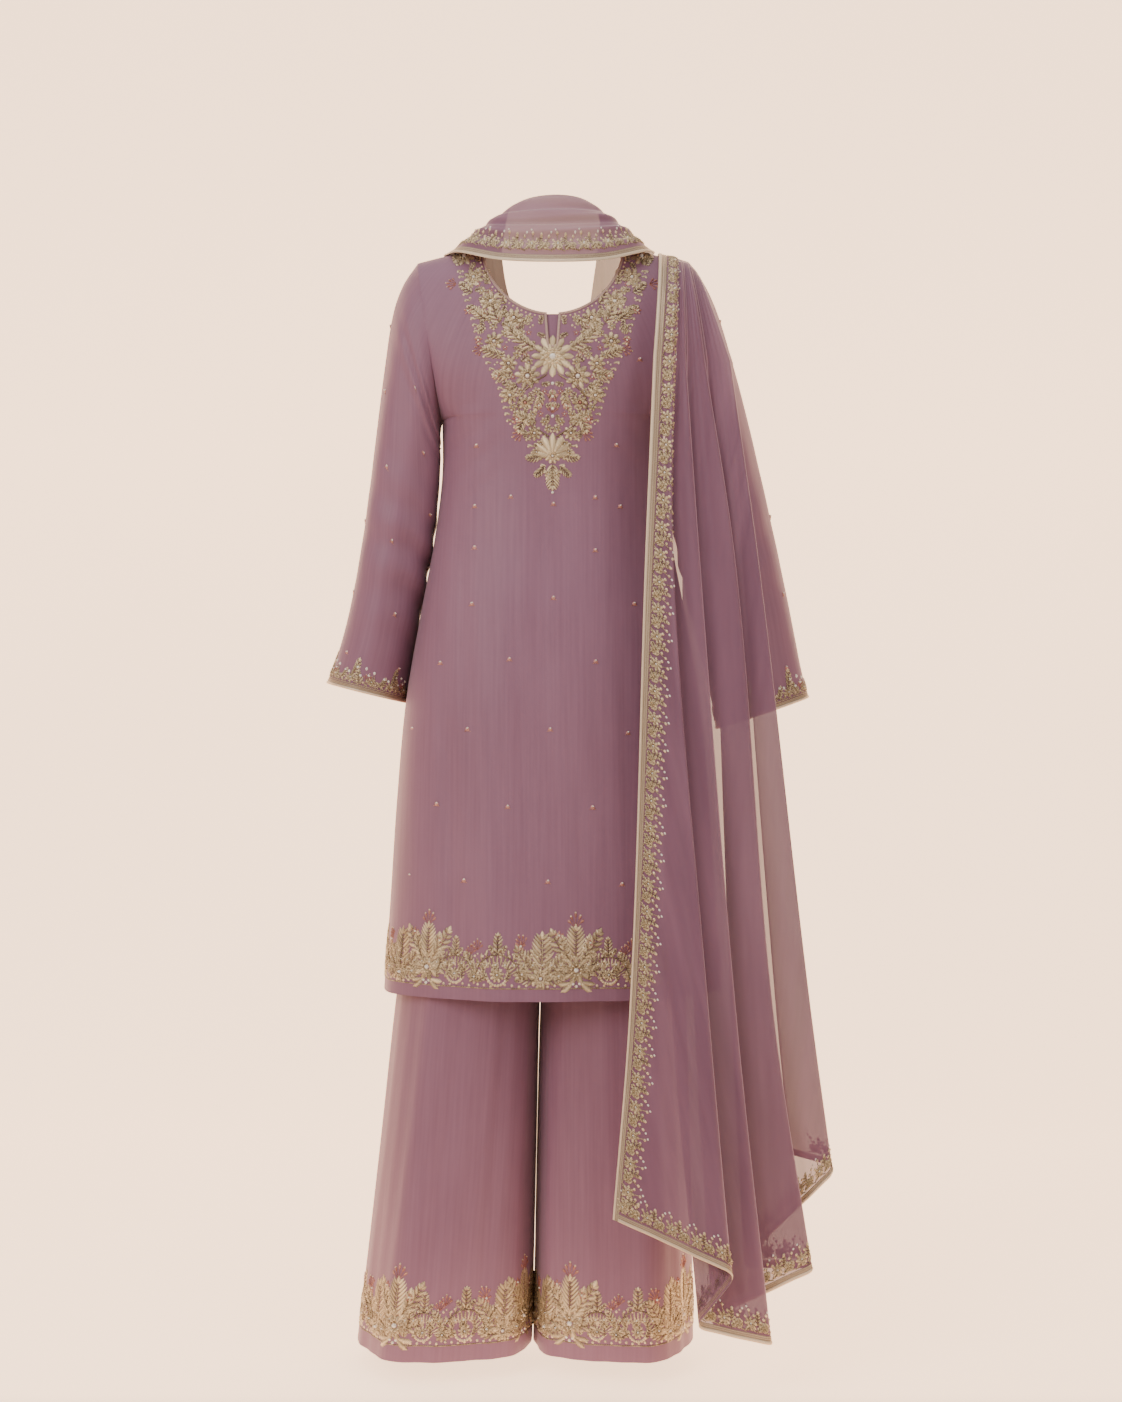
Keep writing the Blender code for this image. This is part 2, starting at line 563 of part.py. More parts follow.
def ridge_top(x):
    """Height of the top line of kurta and sleeve, along the shoulder and on down the sleeve's head."""
    outer_x = column(RIGHT_SLEEVE, SLEEVE_COLUMNS, "outer_x")
    outer_z = column(RIGHT_SLEEVE, SLEEVE_COLUMNS, "outer_z")
    return np.where(np.abs(x) < TIP_X, ridge_z(x), np.interp(np.abs(x), outer_x, outer_z))


def dupatta_back(sheer, gold):
    """The end of the dupatta that hangs down the back from the right shoulder, in four deep pleats."""
    low = [1.03, 1.07, 1.13, 1.22, 1.34, 1.48, 1.62, 1.76, 1.89, 1.99, 2.0]
    down = np.concatenate([np.linspace(0, 1, 8), low])
    folds = column(PLEATS, PLEAT_COLUMNS, "share")
    turns = (folds[1:-1, None] + PLEAT_TURN * np.array([-1.0, 1.0])).ravel()
    between = np.array([a * (1 - t) + b * t for a, b in zip(folds, folds[1:]) for t in (0.35, 0.65)])
    columns = np.sort(np.concatenate([[0.0, 1.0], turns, between]))
    share, drop = np.meshgrid(columns, down)
    first_pleat = dupatta_surface(share[:, :2], drop[:, :2])
    run = np.linalg.norm(first_pleat[:, 1] - first_pleat[:, 0], axis=-1)
    taped = np.minimum(columns[1] * EDGE_TAPE / run, 0.12)[:, None]
    share = np.concatenate([share[:, :1], taped, np.maximum(share[:, 1:], taped + 0.012)], 1)
    grid = dupatta_surface(share, np.repeat(down[:, None], share.shape[1], 1))
    normals = face_normals(grid)
    normals = normals * (1.0 if normals[0, 0, 2] > 0 else -1.0)
    normals[0, :, 1] = 0
    normals = unit(normals)
    wall("dupatta_back", grid, normals, DUPATTA, sheer)
    side_tape = grid[:, :2] + normals[:, :2] * (SEAM + TAPE)
    wall("dupatta_tape_side", side_tape, normals[:, :2], TAPE, gold)
    hem_tape = grid[-2:, 1:] + normals[-2:, 1:] * (SEAM + TAPE)
    hem_tape[:, 0] += unit(hem_tape[:, 1] - hem_tape[:, 0]) * SEAM
    wall("dupatta_tape_hem", hem_tape, normals[-2:, 1:], TAPE, gold)


def band(name, table, steps, clear, sheer, gold):
    """A stretch of the dupatta round the neck: each section runs from its neck edge to its bordered edge.
    In front it also keeps clear of the kurta, by more in its middle."""
    even = np.linspace(0, 1, steps + 1)
    at = (len(table) - 1) * (0.3 * even + 0.35 * (1 - np.cos(math.pi * even)))
    keys = np.arange(len(table))
    value = {n: curve(at, keys, column(table, BAND_COLUMNS, n)) for n in BAND_COLUMNS}
    near = np.stack([value["in_x"], value["in_y"], value["in_z"]], -1)
    far = np.stack([value["out_x"], value["out_y"], value["out_z"]], -1)
    taped = 1 - EDGE_TAPE / np.linalg.norm(far - near, axis=-1)
    v = np.concatenate([np.linspace(0, 1, 10)[:, None] * taped, np.ones((1, steps + 1))])[..., None]
    grid = near * (1 - v) + far * v
    middle = np.array([0.0, 0.01, -0.10])
    out = facing(np.cross(along(grid, 1, False), far - near), grid - middle)
    ends = np.sin(math.pi * even)[:, None]
    ripple = BAND_RIPPLE_DEPTH * np.sin(2 * math.pi * BAND_RIPPLES * v) * np.sin(math.pi * v) ** 0.5 * ends
    swell = value["bulge"][:, None] * np.sin(math.pi * v) * (0.3 + 0.7 * ends)
    grid = grid + out * (swell + ripple)
    if clear:
        rest = clear * ends[:, 0]
        body = body_y(grid[..., 0], grid[..., 2] - rest - 0.0025, 1) + rest
        grid[..., 1] = np.where(ends[:, 0] > 0.01, np.maximum(grid[..., 1], body), grid[..., 1])
        grid[:, -1, 2] = ridge_top(grid[:, -1, 0]) + RIDGE_LIFT
    normals = facing(face_normals(grid), grid - middle)
    normals[:, [0, -1], 1] = 0
    normals = unit(normals)
    wall(name, grid, normals, DUPATTA, sheer)
    wall(name + "_tape", grid[-2:] + normals[-2:] * (SEAM + TAPE), normals[-2:], TAPE, gold)


def dupatta_front_end(finish):
    """The other end, hanging plainly in front of the right shoulder under the cowl."""
    at = np.linspace(0, len(FRONT_END) - 1, 13)
    keys = np.arange(len(FRONT_END))
    value = {n: curve(at, keys, column(FRONT_END, FRONT_END_COLUMNS, n))[:, None] for n in FRONT_END_COLUMNS}
    v = np.linspace(0, 1, 13)[None, :]
    x = value["x_in"] + (value["x_out"] - value["x_in"]) * v
    z = value["z_in"] + (value["z_out"] - value["z_in"]) * v
    grown = np.clip(at[:, None] / 3, 0, 1)
    z = z + 0.0018 * np.sin(math.pi * v) * (1 - grown)
    curl = 0.020 * (2 * v - 1) ** 2 * grown
    on_body = body_y(x, z, 1) + 0.006 * np.clip(at[:, None], 0, 1)
    y = np.maximum(value["y"] - curl, on_body) + 0.005 * (1 - np.cos(2 * math.pi * 3 * v)) * grown
    y[0] = SEAM / 2
    grid = np.stack([x, y, z], -1)
    normals = facing(face_normals(grid), np.array([0, 1, 0]))
    normals[0, :, 1] = 0
    wall("dupatta_front_end", grid, unit(normals), DUPATTA, finish)


def main():
    clear_scene()
    cloth = finish_of("lilac_silk", LILAC, 0.62)
    sheer = finish_of("sheer_lilac", SHEER_LILAC, 0.55)
    gold = finish_of("gold_tape", GOLD_THREAD, 0.45, 0.35)

    kurta_panel("kurta_back", -1, BACK_NECK_Z, True, BACK_FOLDS, 7, cloth)
    kurta_panel("kurta_front", 1, FRONT_NECK_Z, False, FRONT_FOLDS, 8, cloth)
    neck_piping("neck_piping_back", -1, BACK_NECK_Z, True, gold)
    neck_piping("neck_piping_front", 1, FRONT_NECK_Z, False, gold)
    slit_underlap(cloth)
    left = sleeve("sleeve_left", -1, LEFT_SLEEVE, cloth)
    right = sleeve("sleeve_right", 1, RIGHT_SLEEVE, cloth)
    cuff_tape("cuff_tape_left", *left, gold)
    cuff_tape("cuff_tape_right", *right, gold)

    for hand, which in ((-1, "left"), (1, "right")):
        for side, face in ((-1, "back"), (1, "front")):
            leg_panel(f"palazzo_{which}_{face}", hand, side, cloth)
    waistband(cloth)

    dupatta_back(sheer, gold)
    band("dupatta_collar", COLLAR, 16, 0.0, sheer, gold)
    band("dupatta_cowl", COWL, 20, 0.014, sheer, gold)
    dupatta_front_end(sheer)


main()
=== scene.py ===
"""Looks of the kurta palazzo set: fine cloth with its folds, the embroidery, floor, light and camera.

Metres, +Z up, in the CAD frame. The wearer faces +Y and +X is the wearer's right, so the camera looks along
+Y at the back. Each cloth is a surface function of two numbers; its mesh and the embroidery on it both come
from that function, so they lie on each other everywhere.
"""

import math

import bpy
import numpy as np
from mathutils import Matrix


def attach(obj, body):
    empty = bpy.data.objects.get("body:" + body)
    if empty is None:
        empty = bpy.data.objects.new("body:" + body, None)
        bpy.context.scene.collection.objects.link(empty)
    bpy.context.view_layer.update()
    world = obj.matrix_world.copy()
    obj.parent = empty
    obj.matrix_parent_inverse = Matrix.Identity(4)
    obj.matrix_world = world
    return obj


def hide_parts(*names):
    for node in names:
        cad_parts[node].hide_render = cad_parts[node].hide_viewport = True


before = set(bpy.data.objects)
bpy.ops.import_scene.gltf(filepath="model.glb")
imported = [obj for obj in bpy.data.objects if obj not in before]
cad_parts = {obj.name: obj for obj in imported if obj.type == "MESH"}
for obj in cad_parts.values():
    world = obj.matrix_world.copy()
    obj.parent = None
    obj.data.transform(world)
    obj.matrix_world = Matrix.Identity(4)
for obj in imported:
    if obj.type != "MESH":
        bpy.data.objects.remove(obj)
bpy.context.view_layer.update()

# Kurta
# A back and a front of soft silk blend, sewn at the shoulders and sides, with a narrow turned hem. Each is a thin
# wall whose outer face hangs from the shoulders in soft upright folds. The neck is deep, with a slit at the back.
CLOTH = 0.0014
SEAM = 0.0003
HEM_Z, UNDERARM_Z, TIP_Z = -1.000, -0.235, -0.020
TIP_X, UNDERARM_X, ARMHOLE_DEPTH = 0.183, 0.150, 0.072
NECK_X, BACK_NECK_Z, FRONT_NECK_Z = 0.093, -0.102, -0.088
SLIT_TOP, SLIT_FOOT, SLIT_Z = 0.0078, 0.0045, -0.146
SQUARENESS = 2.2
BODY_ROWS = 86
BLADE_POWER, CHEST_POWER, SEAM_REACH = 2.6, 2.0, 1.25
KURTA_COLUMNS = ("z", "half_width", "back", "front")
KURTA_SECTIONS = (
    (-1.000, 0.2285, 0.155, 0.150),
    (-0.884, 0.2203, 0.149, 0.143),
    (-0.748, 0.2115, 0.141, 0.135),
    (-0.612, 0.1990, 0.134, 0.126),
    (-0.500, 0.1800, 0.122, 0.119),
    (-0.394, 0.1605, 0.105, 0.117),
    (-0.306, 0.1500, 0.098, 0.126),
    (-0.235, 0.1500, 0.100, 0.128),
)
# angle round the body from the centre, depth at the hem, half width and the height where the fold starts
BACK_FOLDS = (
    (-64, 0.0050, 11, -0.45),
    (-38, -0.0035, 10, -0.40),
    (-14, 0.0030, 9, -0.38),
    (12, -0.0035, 10, -0.36),
    (34, 0.0045, 10, -0.42),
    (60, -0.0045, 11, -0.50),
)
FRONT_FOLDS = (
    (-58, 0.0045, 11, -0.42),
    (-30, -0.0035, 11, -0.34),
    (-4, 0.0035, 11, -0.32),
    (26, -0.0040, 11, -0.34),
    (55, 0.0050, 11, -0.42),
)


def column(table, names, name):
    """One named column of a table, as an array."""
    return np.array([row[names.index(name)] for row in table], float)


def curve(at, keys, values):
    """A smooth curve through (keys, values): cubic between neighbours, its slope there the mean of both sides.
    The keys rise; keys and values are one list for all points, or one for each point."""
    at = np.asarray(at, float)
    k, v = (np.asarray(a, float) for a in (keys, values))
    k, v = (np.reshape(a, a.shape + (1,) * (at.ndim + 1 - a.ndim)) for a in (k, v))
    k, v = (np.broadcast_to(a, (len(keys),) + at.shape) for a in (k, v))
    steps = np.diff(v, axis=0) / np.diff(k, axis=0)
    slopes = np.concatenate([steps[:1], (steps[1:] + steps[:-1]) / 2, steps[-1:]])
    at = np.clip(at, k[0], k[-1])
    i = np.clip(np.sum(at >= k, axis=0) - 1, 0, len(keys) - 2)[None]
    k0, k1, v0, v1, s0, s1 = (
        np.take_along_axis(a, j, 0)[0]
        for a, j in ((k, i), (k, i + 1), (v, i), (v, i + 1), (slopes, i), (slopes, i + 1))
    )
    u = (at - k0) / (k1 - k0)
    rise = u * u * (3 - 2 * u)
    bend = (k1 - k0) * (u * (1 - u) ** 2 * s0 - u * u * (1 - u) * s1)
    return v0 * (1 - rise) + v1 * rise + bend


def unit(vectors):
    return vectors / np.maximum(np.linalg.norm(vectors, axis=-1, keepdims=True), 1e-12)


def along(grid, axis, around):
    """The direction in which a grid of points runs along one of its axes."""
    if around:
        return np.roll(grid, -1, axis) - np.roll(grid, 1, axis)
    return np.gradient(grid, axis=axis)


def face_normals(grid, around=False):
    """Unit normals of a grid of points: the way along a row, crossed with the way up a column."""
    return unit(np.cross(along(grid, 1, around), along(grid, 0, False)))


def facing(normals, way):
    """The normals of one sheet, all of them turned to the side that the way points to."""
    return unit(normals) * (1.0 if np.sum(normals * way) > 0 else -1.0)


def cloth(name, grid, normals, thickness, finish, around=False, tone=None):
    """A sheet of cloth: the grid is its outer face, and with a thickness it has an inner face and rims too.
    Its map lies flat in metres: u is how far a point is along its row, v how far up its column. Its tone is painted
    light: a high tone paints a highlight into the finish and, on the gold tapes, a low one paints shade."""
    tone = np.zeros(grid.shape[:2]) if tone is None else np.broadcast_to(tone, grid.shape[:2])
    if np.sum(face_normals(grid, around) * normals) < 0:
        grid, normals, tone = grid[::-1], normals[::-1], tone[::-1]
    rows, columns = grid.shape[:2]
    whole = np.concatenate([grid, grid[:, :1]], 1) if around else grid
    run = np.cumsum(np.linalg.norm(np.diff(whole, axis=1, prepend=whole[:, :1]), axis=-1), axis=1)
    run = run - run[:, run.shape[1] // 2, None]
    rise = np.cumsum(np.linalg.norm(np.diff(whole, axis=0, prepend=whole[:1]), axis=-1), axis=0)
    flat = np.stack([run, rise], -1)
    r, c = np.meshgrid(np.arange(rows - 1), np.arange(whole.shape[1] - 1), indexing="ij")
    corners = ((r, c), (r, c + 1), (r + 1, c + 1), (r + 1, c))
    outer = np.stack([a * columns + b % columns for a, b in corners], -1).reshape(-1, 4)
    outer_flat = np.stack([flat[a, b] for a, b in corners], -2).reshape(-1, 4, 2)
    points, faces, places = [grid.reshape(-1, 3)], [outer], [outer_flat]
    if thickness:
        far = rows * columns
        points.append((grid - normals * thickness).reshape(-1, 3))
        faces.append(outer[:, ::-1] + far)
        places.append(outer_flat[:, ::-1])
        c, r = np.arange(whole.shape[1] - 1), np.arange(rows - 1)
        last = (rows - 1) * columns
        rims = [((c + 1) % columns, c, flat[0, c + 1], flat[0, c])]
        rims += [(last + c, last + (c + 1) % columns, flat[-1, c], flat[-1, c + 1])]
        if not around:
            rims += [(r * columns, (r + 1) * columns, flat[r, 0], flat[r + 1, 0])]
            rims += [((r + 2) * columns - 1, (r + 1) * columns - 1, flat[r + 1, -1], flat[r, -1])]
        for a, b, flat_a, flat_b in rims:
            faces.append(np.stack([a, b, b + far, a + far], -1))
            places.append(np.stack([flat_a, flat_b, flat_b, flat_a], -2))
    mesh = bpy.data.meshes.new(name)
    mesh.from_pydata(np.concatenate(points).tolist(), [], np.concatenate(faces).tolist())
    mesh.uv_layers.new(name="flat").data.foreach_set("uv", np.concatenate(places).ravel())
    tones = np.tile(tone.ravel(), 2 if thickness else 1)
    mesh.attributes.new("tone", "FLOAT", "POINT").data.foreach_set("value", tones)
    mesh.materials.append(finish)
    mesh.shade_smooth()
    mesh.set_sharp_from_angle(angle=math.radians(55))
    thing = bpy.data.objects.new(name, mesh)
    bpy.context.scene.collection.objects.link(thing)
    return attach(thing, "root")


def silk(name, deep, pale, sheen):
    """Soft silk: two close lilacs in clouds and long upright slubs, a fine weave, a faint crinkle and a sheen."""
    made = bpy.data.materials.new(name)
    made.use_nodes = True
    nodes, links = made.node_tree.nodes, made.node_tree.links
    shader = nodes["Principled BSDF"]
    place = nodes.new("ShaderNodeUVMap")
    place.uv_map = "flat"
    layers = []
    for across, down, detail in ((9, 4.5, 4), (230, 7, 2)):
        stretch = nodes.new("ShaderNodeMapping")
        stretch.inputs["Scale"].default_value = (across, down, 1)
        slub = nodes.new("ShaderNodeTexNoise")
        slub.inputs["Scale"].default_value = 1.0
        slub.inputs["Detail"].default_value = detail
        links.new(place.outputs["UV"], stretch.inputs["Vector"])
        links.new(stretch.outputs["Vector"], slub.inputs["Vector"])
        layers.append(slub)
    blend = nodes.new("ShaderNodeMix")
    blend.data_type = "FLOAT"
    blend.inputs["Factor"].default_value = 0.42
    links.new(layers[0].outputs["Fac"], blend.inputs[2])
    links.new(layers[1].outputs["Fac"], blend.inputs[3])
    tint = nodes.new("ShaderNodeValToRGB")
    tint.color_ramp.elements[0].position = 0.28
    tint.color_ramp.elements[0].color = deep
    tint.color_ramp.elements[1].position = 0.72
    tint.color_ramp.elements[1].color = pale
    links.new(blend.outputs[0], tint.inputs["Fac"])
    links.new(tint.outputs["Color"], shader.inputs["Base Color"])
    warp = nodes.new("ShaderNodeTexWave")
    warp.inputs["Scale"].default_value = 260
    weft = nodes.new("ShaderNodeTexWave")
    weft.bands_direction = "Y"
    weft.inputs["Scale"].default_value = 230
    crinkle = nodes.new("ShaderNodeTexNoise")
    crinkle.inputs["Scale"].default_value = 70
    crinkle.inputs["Detail"].default_value = 4
    for texture in (warp, weft, crinkle):
        links.new(place.outputs["UV"], texture.inputs["Vector"])
    weave = nodes.new("ShaderNodeMath")
    weave.operation = "MULTIPLY"
    links.new(warp.outputs["Fac"], weave.inputs[0])
    links.new(weft.outputs["Fac"], weave.inputs[1])
    fine = nodes.new("ShaderNodeBump")
    fine.inputs["Strength"].default_value = 0.12
    fine.inputs["Distance"].default_value = 0.0002
    links.new(weave.outputs[0], fine.inputs["Height"])
    soft = nodes.new("ShaderNodeBump")
    soft.inputs["Strength"].default_value = 0.22
    soft.inputs["Distance"].default_value = 0.0015
    links.new(crinkle.outputs["Fac"], soft.inputs["Height"])
    links.new(fine.outputs["Normal"], soft.inputs["Normal"])
    links.new(soft.outputs["Normal"], shader.inputs["Normal"])
    shader.inputs["Roughness"].default_value = 0.56
    shader.inputs["Specular IOR Level"].default_value = 0.35
    shader.inputs["Sheen Weight"].default_value = sheen
    shader.inputs["Sheen Roughness"].default_value = 0.45
    shader.inputs["Sheen Tint"].default_value = (1.0, 0.90, 0.94, 1)
    return made


def superellipse(angle):
    """(across, deep) of a rounded section at an angle in radians: 0 is its middle and a right angle its side."""
    power = 2 / SQUARENESS
    sine, cosine = np.sin(angle), np.cos(angle)
    return np.sign(sine) * np.abs(sine) ** power, np.abs(cosine) ** power


def fold_depth(folds, angle, z, hem_z):
    """How far the hanging folds push the cloth out at an angle in degrees: each grows from its top to the hem."""
    pushed = np.zeros(np.broadcast(angle, z).shape)
    for middle, depth, spread, top in folds:
        grown = np.clip((top - z) / (top - hem_z), 0, 1) ** 1.3
        pushed = pushed + depth * grown * np.exp(-(((angle - middle) / spread) ** 2))
    return pushed


def ridge_z(x):
    """Height of the shoulder seam: level at the neck, sloping down to the tip."""
    beyond = np.clip((np.abs(x) - NECK_X) / (TIP_X - NECK_X), 0, None)
    return TIP_Z * beyond**1.2


def armhole_x(z):
    """Half width between the armhole seams at a height: both seams lie in one slanting plane."""
    share = np.clip((z - UNDERARM_Z) / (TIP_Z - UNDERARM_Z), 0, 1)
    return UNDERARM_X + (TIP_X - UNDERARM_X) * share


def chest_y(x, z, side):
    """Depth of the cloth over the blades (side -1) or the chest (side 1), from underarm to shoulder seam."""
    full, power = (KURTA_SECTIONS[-1][2], BLADE_POWER) if side < 0 else (KURTA_SECTIONS[-1][3], CHEST_POWER)
    up = np.clip((z - UNDERARM_Z) / (ridge_z(x) - UNDERARM_Z), 0, 1)
    at_seam = ARMHOLE_DEPTH * np.sqrt(np.clip(4 * up * (1 - up), 0, None))
    middle = full * np.sqrt(np.clip(1 - up**power, 0, None))
    across = np.clip(np.abs(x) / armhole_x(z), 0, 1)
    level = (1 - across**SQUARENESS) ** (1 / SQUARENESS)
    return middle * level + at_seam * (1 - level) ** (1 + (SEAM_REACH - 1) * np.clip(4 * (1 - up), 0, 1))


def body_y(x, z, side):
    """Depth of the kurta without its folds at any height from hem to shoulder."""
    keys = column(KURTA_SECTIONS, KURTA_COLUMNS, "z")
    wide = curve(z, keys, column(KURTA_SECTIONS, KURTA_COLUMNS, "half_width"))
    deep = curve(z, keys, column(KURTA_SECTIONS, KURTA_COLUMNS, "back" if side < 0 else "front"))
    level = deep * (1 - np.clip(np.abs(x) / wide, 0, 1) ** SQUARENESS) ** (1 / SQUARENESS)
    return np.where(z < UNDERARM_Z, level, chest_y(x, z, side))


def soft_y(x, z, side):
    """Depth of the kurta with its underarm level eased over a few centimetres and faint upright waves in it."""
    y = body_y(x, z, side)
    near = np.exp(-(((z - UNDERARM_Z) / 0.062) ** 2)) * np.clip((0.149 - np.abs(x)) / 0.03, 0, 1)
    eased = sum(body_y(x, z + step, side) for step in (-0.046, -0.031, -0.016, 0, 0.016, 0.031, 0.046)) / 7
    grown = np.clip((-0.22 - z) / 0.35, 0, 1)
    wave = 0.0012 * np.sin(x * 71 + 1.6 * np.sin(z * 5.1 + x * 9)) * (0.20 + 0.80 * grown)
    wave = wave + 0.0004 * np.sin(x * 187 - 2.1 * np.sin(z * 6.7 + 1)) * (0.35 + 0.65 * grown)
    pull = 0.0011 * np.sin((np.abs(x) * 0.75 + z) * 150) * np.exp(-(((z + 0.285) / 0.05) ** 2))
    pull = pull * np.clip((np.abs(x) - 0.055) / 0.05, 0, 1)
    hold = np.clip(y / 0.03, 0, 1) ** 2
    return y + (eased - y) * near + (wave + pull) * hold


def top_edge(angle, side):
    """Where a column of the back or the front ends, at its neckline or shoulder seam: (x, z)."""
    slit = side < 0
    first, last = (10, 66) if slit else (0, 65.45)
    turn = np.linspace(math.asin(SLIT_TOP / NECK_X) if slit else 0, math.pi / 2, 61)
    out = np.linspace(NECK_X, TIP_X, 25)
    neck_z = BACK_NECK_Z if slit else FRONT_NECK_Z
    round_neck, on_shoulder = np.linspace(first, last, 61), np.linspace(last, 90, 25)[1:]
    keys = np.concatenate([[0, 3] if slit else [], round_neck, on_shoulder])
    x = np.concatenate([[0, SLIT_FOOT] if slit else [], NECK_X * np.sin(turn), out[1:]])
    z = np.concatenate([[SLIT_Z, SLIT_Z] if slit else [], neck_z * np.cos(turn), ridge_z(out[1:])])
    return np.sign(angle) * np.interp(np.abs(angle), keys, x), np.interp(np.abs(angle), keys, z)


def kurta(angle, v, side):
    """A point of the back (side -1) or front (side 1). The angle goes round the body in degrees from its centre;
    v is 0 at the hem, 1 at the underarm level and 2 at the neckline or shoulder seam."""
    angle, v = np.broadcast_arrays(np.asarray(angle, float), np.asarray(v, float))
    across, depth = superellipse(np.radians(angle))
    edge_x, edge_z = top_edge(angle, side)
    rise = (1 - np.cos(math.pi * np.clip(v - 1, 0, 1))) / 2
    z = HEM_Z + (UNDERARM_Z - HEM_Z) * np.minimum(v, 1) + (edge_z - UNDERARM_Z) * rise
    keys = column(KURTA_SECTIONS, KURTA_COLUMNS, "z")
    wide = curve(z, keys, column(KURTA_SECTIONS, KURTA_COLUMNS, "half_width"))
    wide = np.where(v > 1, armhole_x(z), wide)
    x = (across + (edge_x / armhole_x(edge_z) - across) * rise**1.5) * wide
    folds = BACK_FOLDS if side < 0 else FRONT_FOLDS
    pushed = fold_depth(folds, angle, z, HEM_Z)
    y = soft_y(x, z, side) + pushed * depth
    return np.stack([x + pushed * across, side * (y + SEAM / 2), z], -1)


def kurta_panel(name, side, finish):
    """The grid of one panel, closer together at the neck and shoulder."""
    inner = [0, 1.5, 3, 4.5, 6, 8, 10] if side < 0 else [0, 2, 4, 6, 8, 10]
    half = np.concatenate([inner, np.linspace(10, 66, 34)[1:], np.linspace(66, 90, 15)[1:]])
    angle = np.concatenate([-half[:0:-1], half])
    levels = np.concatenate([np.linspace(0, 1, BODY_ROWS), np.linspace(1, 2, 44)[1:]])
    grid = kurta(angle[None, :], levels[:, None], side)
    normals = facing(face_normals(grid), np.array([0, side, 0]))
    normals[:BODY_ROWS + 1, [0, -1], 1] = 0
    normals[-1, np.abs(grid[-1, :, 0]) >= NECK_X - 1e-6, 1] = 0
    return cloth(name, grid, unit(normals), CLOTH, finish)


lilac = silk("lilac_silk", (0.222, 0.102, 0.158, 1), (0.292, 0.142, 0.208, 1), 0.20)
kurta_back = kurta_panel("kurta_back_cloth", -1, lilac)
kurta_front = kurta_panel("kurta_front_cloth", 1, lilac)
for piece, node in ((kurta_back, "kurta_back"), (kurta_front, "kurta_front")):
    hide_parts(node)

# Sleeves
# Each sleeve is cut in one piece, set into the armhole and closed along its underside. It is a tube of the same
# silk, eased at the elbow, with soft creases across the bend and under the arm, and long shallow folds.
SLEEVE_COLUMNS = ("inner_x", "inner_z", "outer_x", "outer_z", "half_depth", "forward")
LEFT_SLEEVE = (
    (0.1500, -0.235, 0.1830, -0.020, 0.072, 0.000),
    (0.1518, -0.246, 0.2030, -0.053, 0.074, 0.000),
    (0.1522, -0.268, 0.2170, -0.096, 0.072, 0.001),
    (0.1530, -0.300, 0.2280, -0.163, 0.068, 0.003),
    (0.1568, -0.345, 0.2390, -0.240, 0.064, 0.005),
    (0.1636, -0.400, 0.2500, -0.320, 0.061, 0.007),
    (0.1748, -0.460, 0.2620, -0.400, 0.060, 0.009),
    (0.1880, -0.530, 0.2780, -0.485, 0.060, 0.011),
    (0.1962, -0.580, 0.2950, -0.550, 0.060, 0.012),
    (0.2016, -0.616, 0.3090, -0.589, 0.060, 0.012),
)
RIGHT_SLEEVE = (
    (0.1500, -0.235, 0.1830, -0.020, 0.072, 0.000),
    (0.1520, -0.247, 0.2050, -0.047, 0.073, 0.000),
    (0.1530, -0.270, 0.2240, -0.087, 0.070, 0.001),
    (0.1545, -0.303, 0.2430, -0.148, 0.066, 0.003),
    (0.1595, -0.350, 0.2620, -0.220, 0.061, 0.005),
    (0.1690, -0.410, 0.2830, -0.310, 0.056, 0.007),
    (0.1830, -0.475, 0.3030, -0.400, 0.053, 0.009),
    (0.2010, -0.550, 0.3220, -0.490, 0.051, 0.011),
    (0.2150, -0.610, 0.3380, -0.570, 0.050, 0.012),
    (0.2225, -0.652, 0.3480, -0.609, 0.050, 0.012),
)
CUFF_RING = 9


def sleeve(turn, ring, sign):
    """A point of a sleeve. The turn goes round it in radians from under the arm by the back; the ring runs from 0
    at the armhole to 9 at the cuff. Sign is -1 for the left sleeve."""
    turn, ring = np.broadcast_arrays(np.asarray(turn, float), np.asarray(ring, float))
    table = LEFT_SLEEVE if sign < 0 else RIGHT_SLEEVE
    at = {n: curve(ring, np.arange(10), column(table, SLEEVE_COLUMNS, n)) for n in SLEEVE_COLUMNS}
    half_x, half_z = (at["outer_x"] - at["inner_x"]) / 2, (at["outer_z"] - at["inner_z"]) / 2
    way = np.stack([-half_x * np.cos(turn), -at["half_depth"] * np.sin(turn), -half_z * np.cos(turn)], -1)
    start = np.clip(ring / 1.6, 0, 1)
    long_fold = 0.0022 * np.sin(3 * turn + 0.45 * ring + 1.1 * sign) + 0.0011 * np.sin(7 * turn - 0.5 * ring)
    bend = np.exp(-(((ring - 5.6) / 1.25) ** 2)) * (0.5 + 0.5 * np.cos(turn - 0.5))
    pit = np.exp(-(((ring - 1.9) / 0.8) ** 2)) * (0.5 + 0.5 * np.cos(turn - 0.7)) ** 2
    crease = 0.0026 * bend * np.sin(7.5 * ring + 1.4 * np.sin(turn * 2))
    crease = crease + 0.0024 * pit * np.sin(8 * ring + 2 * turn)
    push = (long_fold * np.clip(1.25 - ring / 12, 0, 1) + crease) * start
    spread = way + unit(way) * push[..., None]
    middle = np.stack(
        [(at["inner_x"] + at["outer_x"]) / 2, at["forward"], (at["inner_z"] + at["outer_z"]) / 2], -1
    )
    return (middle + spread) * np.array([sign, 1, 1])


def tube(name, surface, rings, columns, thickness, finish):
    """The wall of a sleeve between two rings."""
    turn = np.linspace(0, 2 * math.pi, columns, endpoint=False)
    grid = surface(turn[None, :], rings[:, None])
    normals = facing(face_normals(grid, True), grid - grid.mean(axis=1, keepdims=True))
    return cloth(name, grid, normals, thickness, finish, True)


def left_sleeve(turn, ring):
    return sleeve(turn, ring, -1)


def right_sleeve(turn, ring):
    return sleeve(turn, ring, 1)


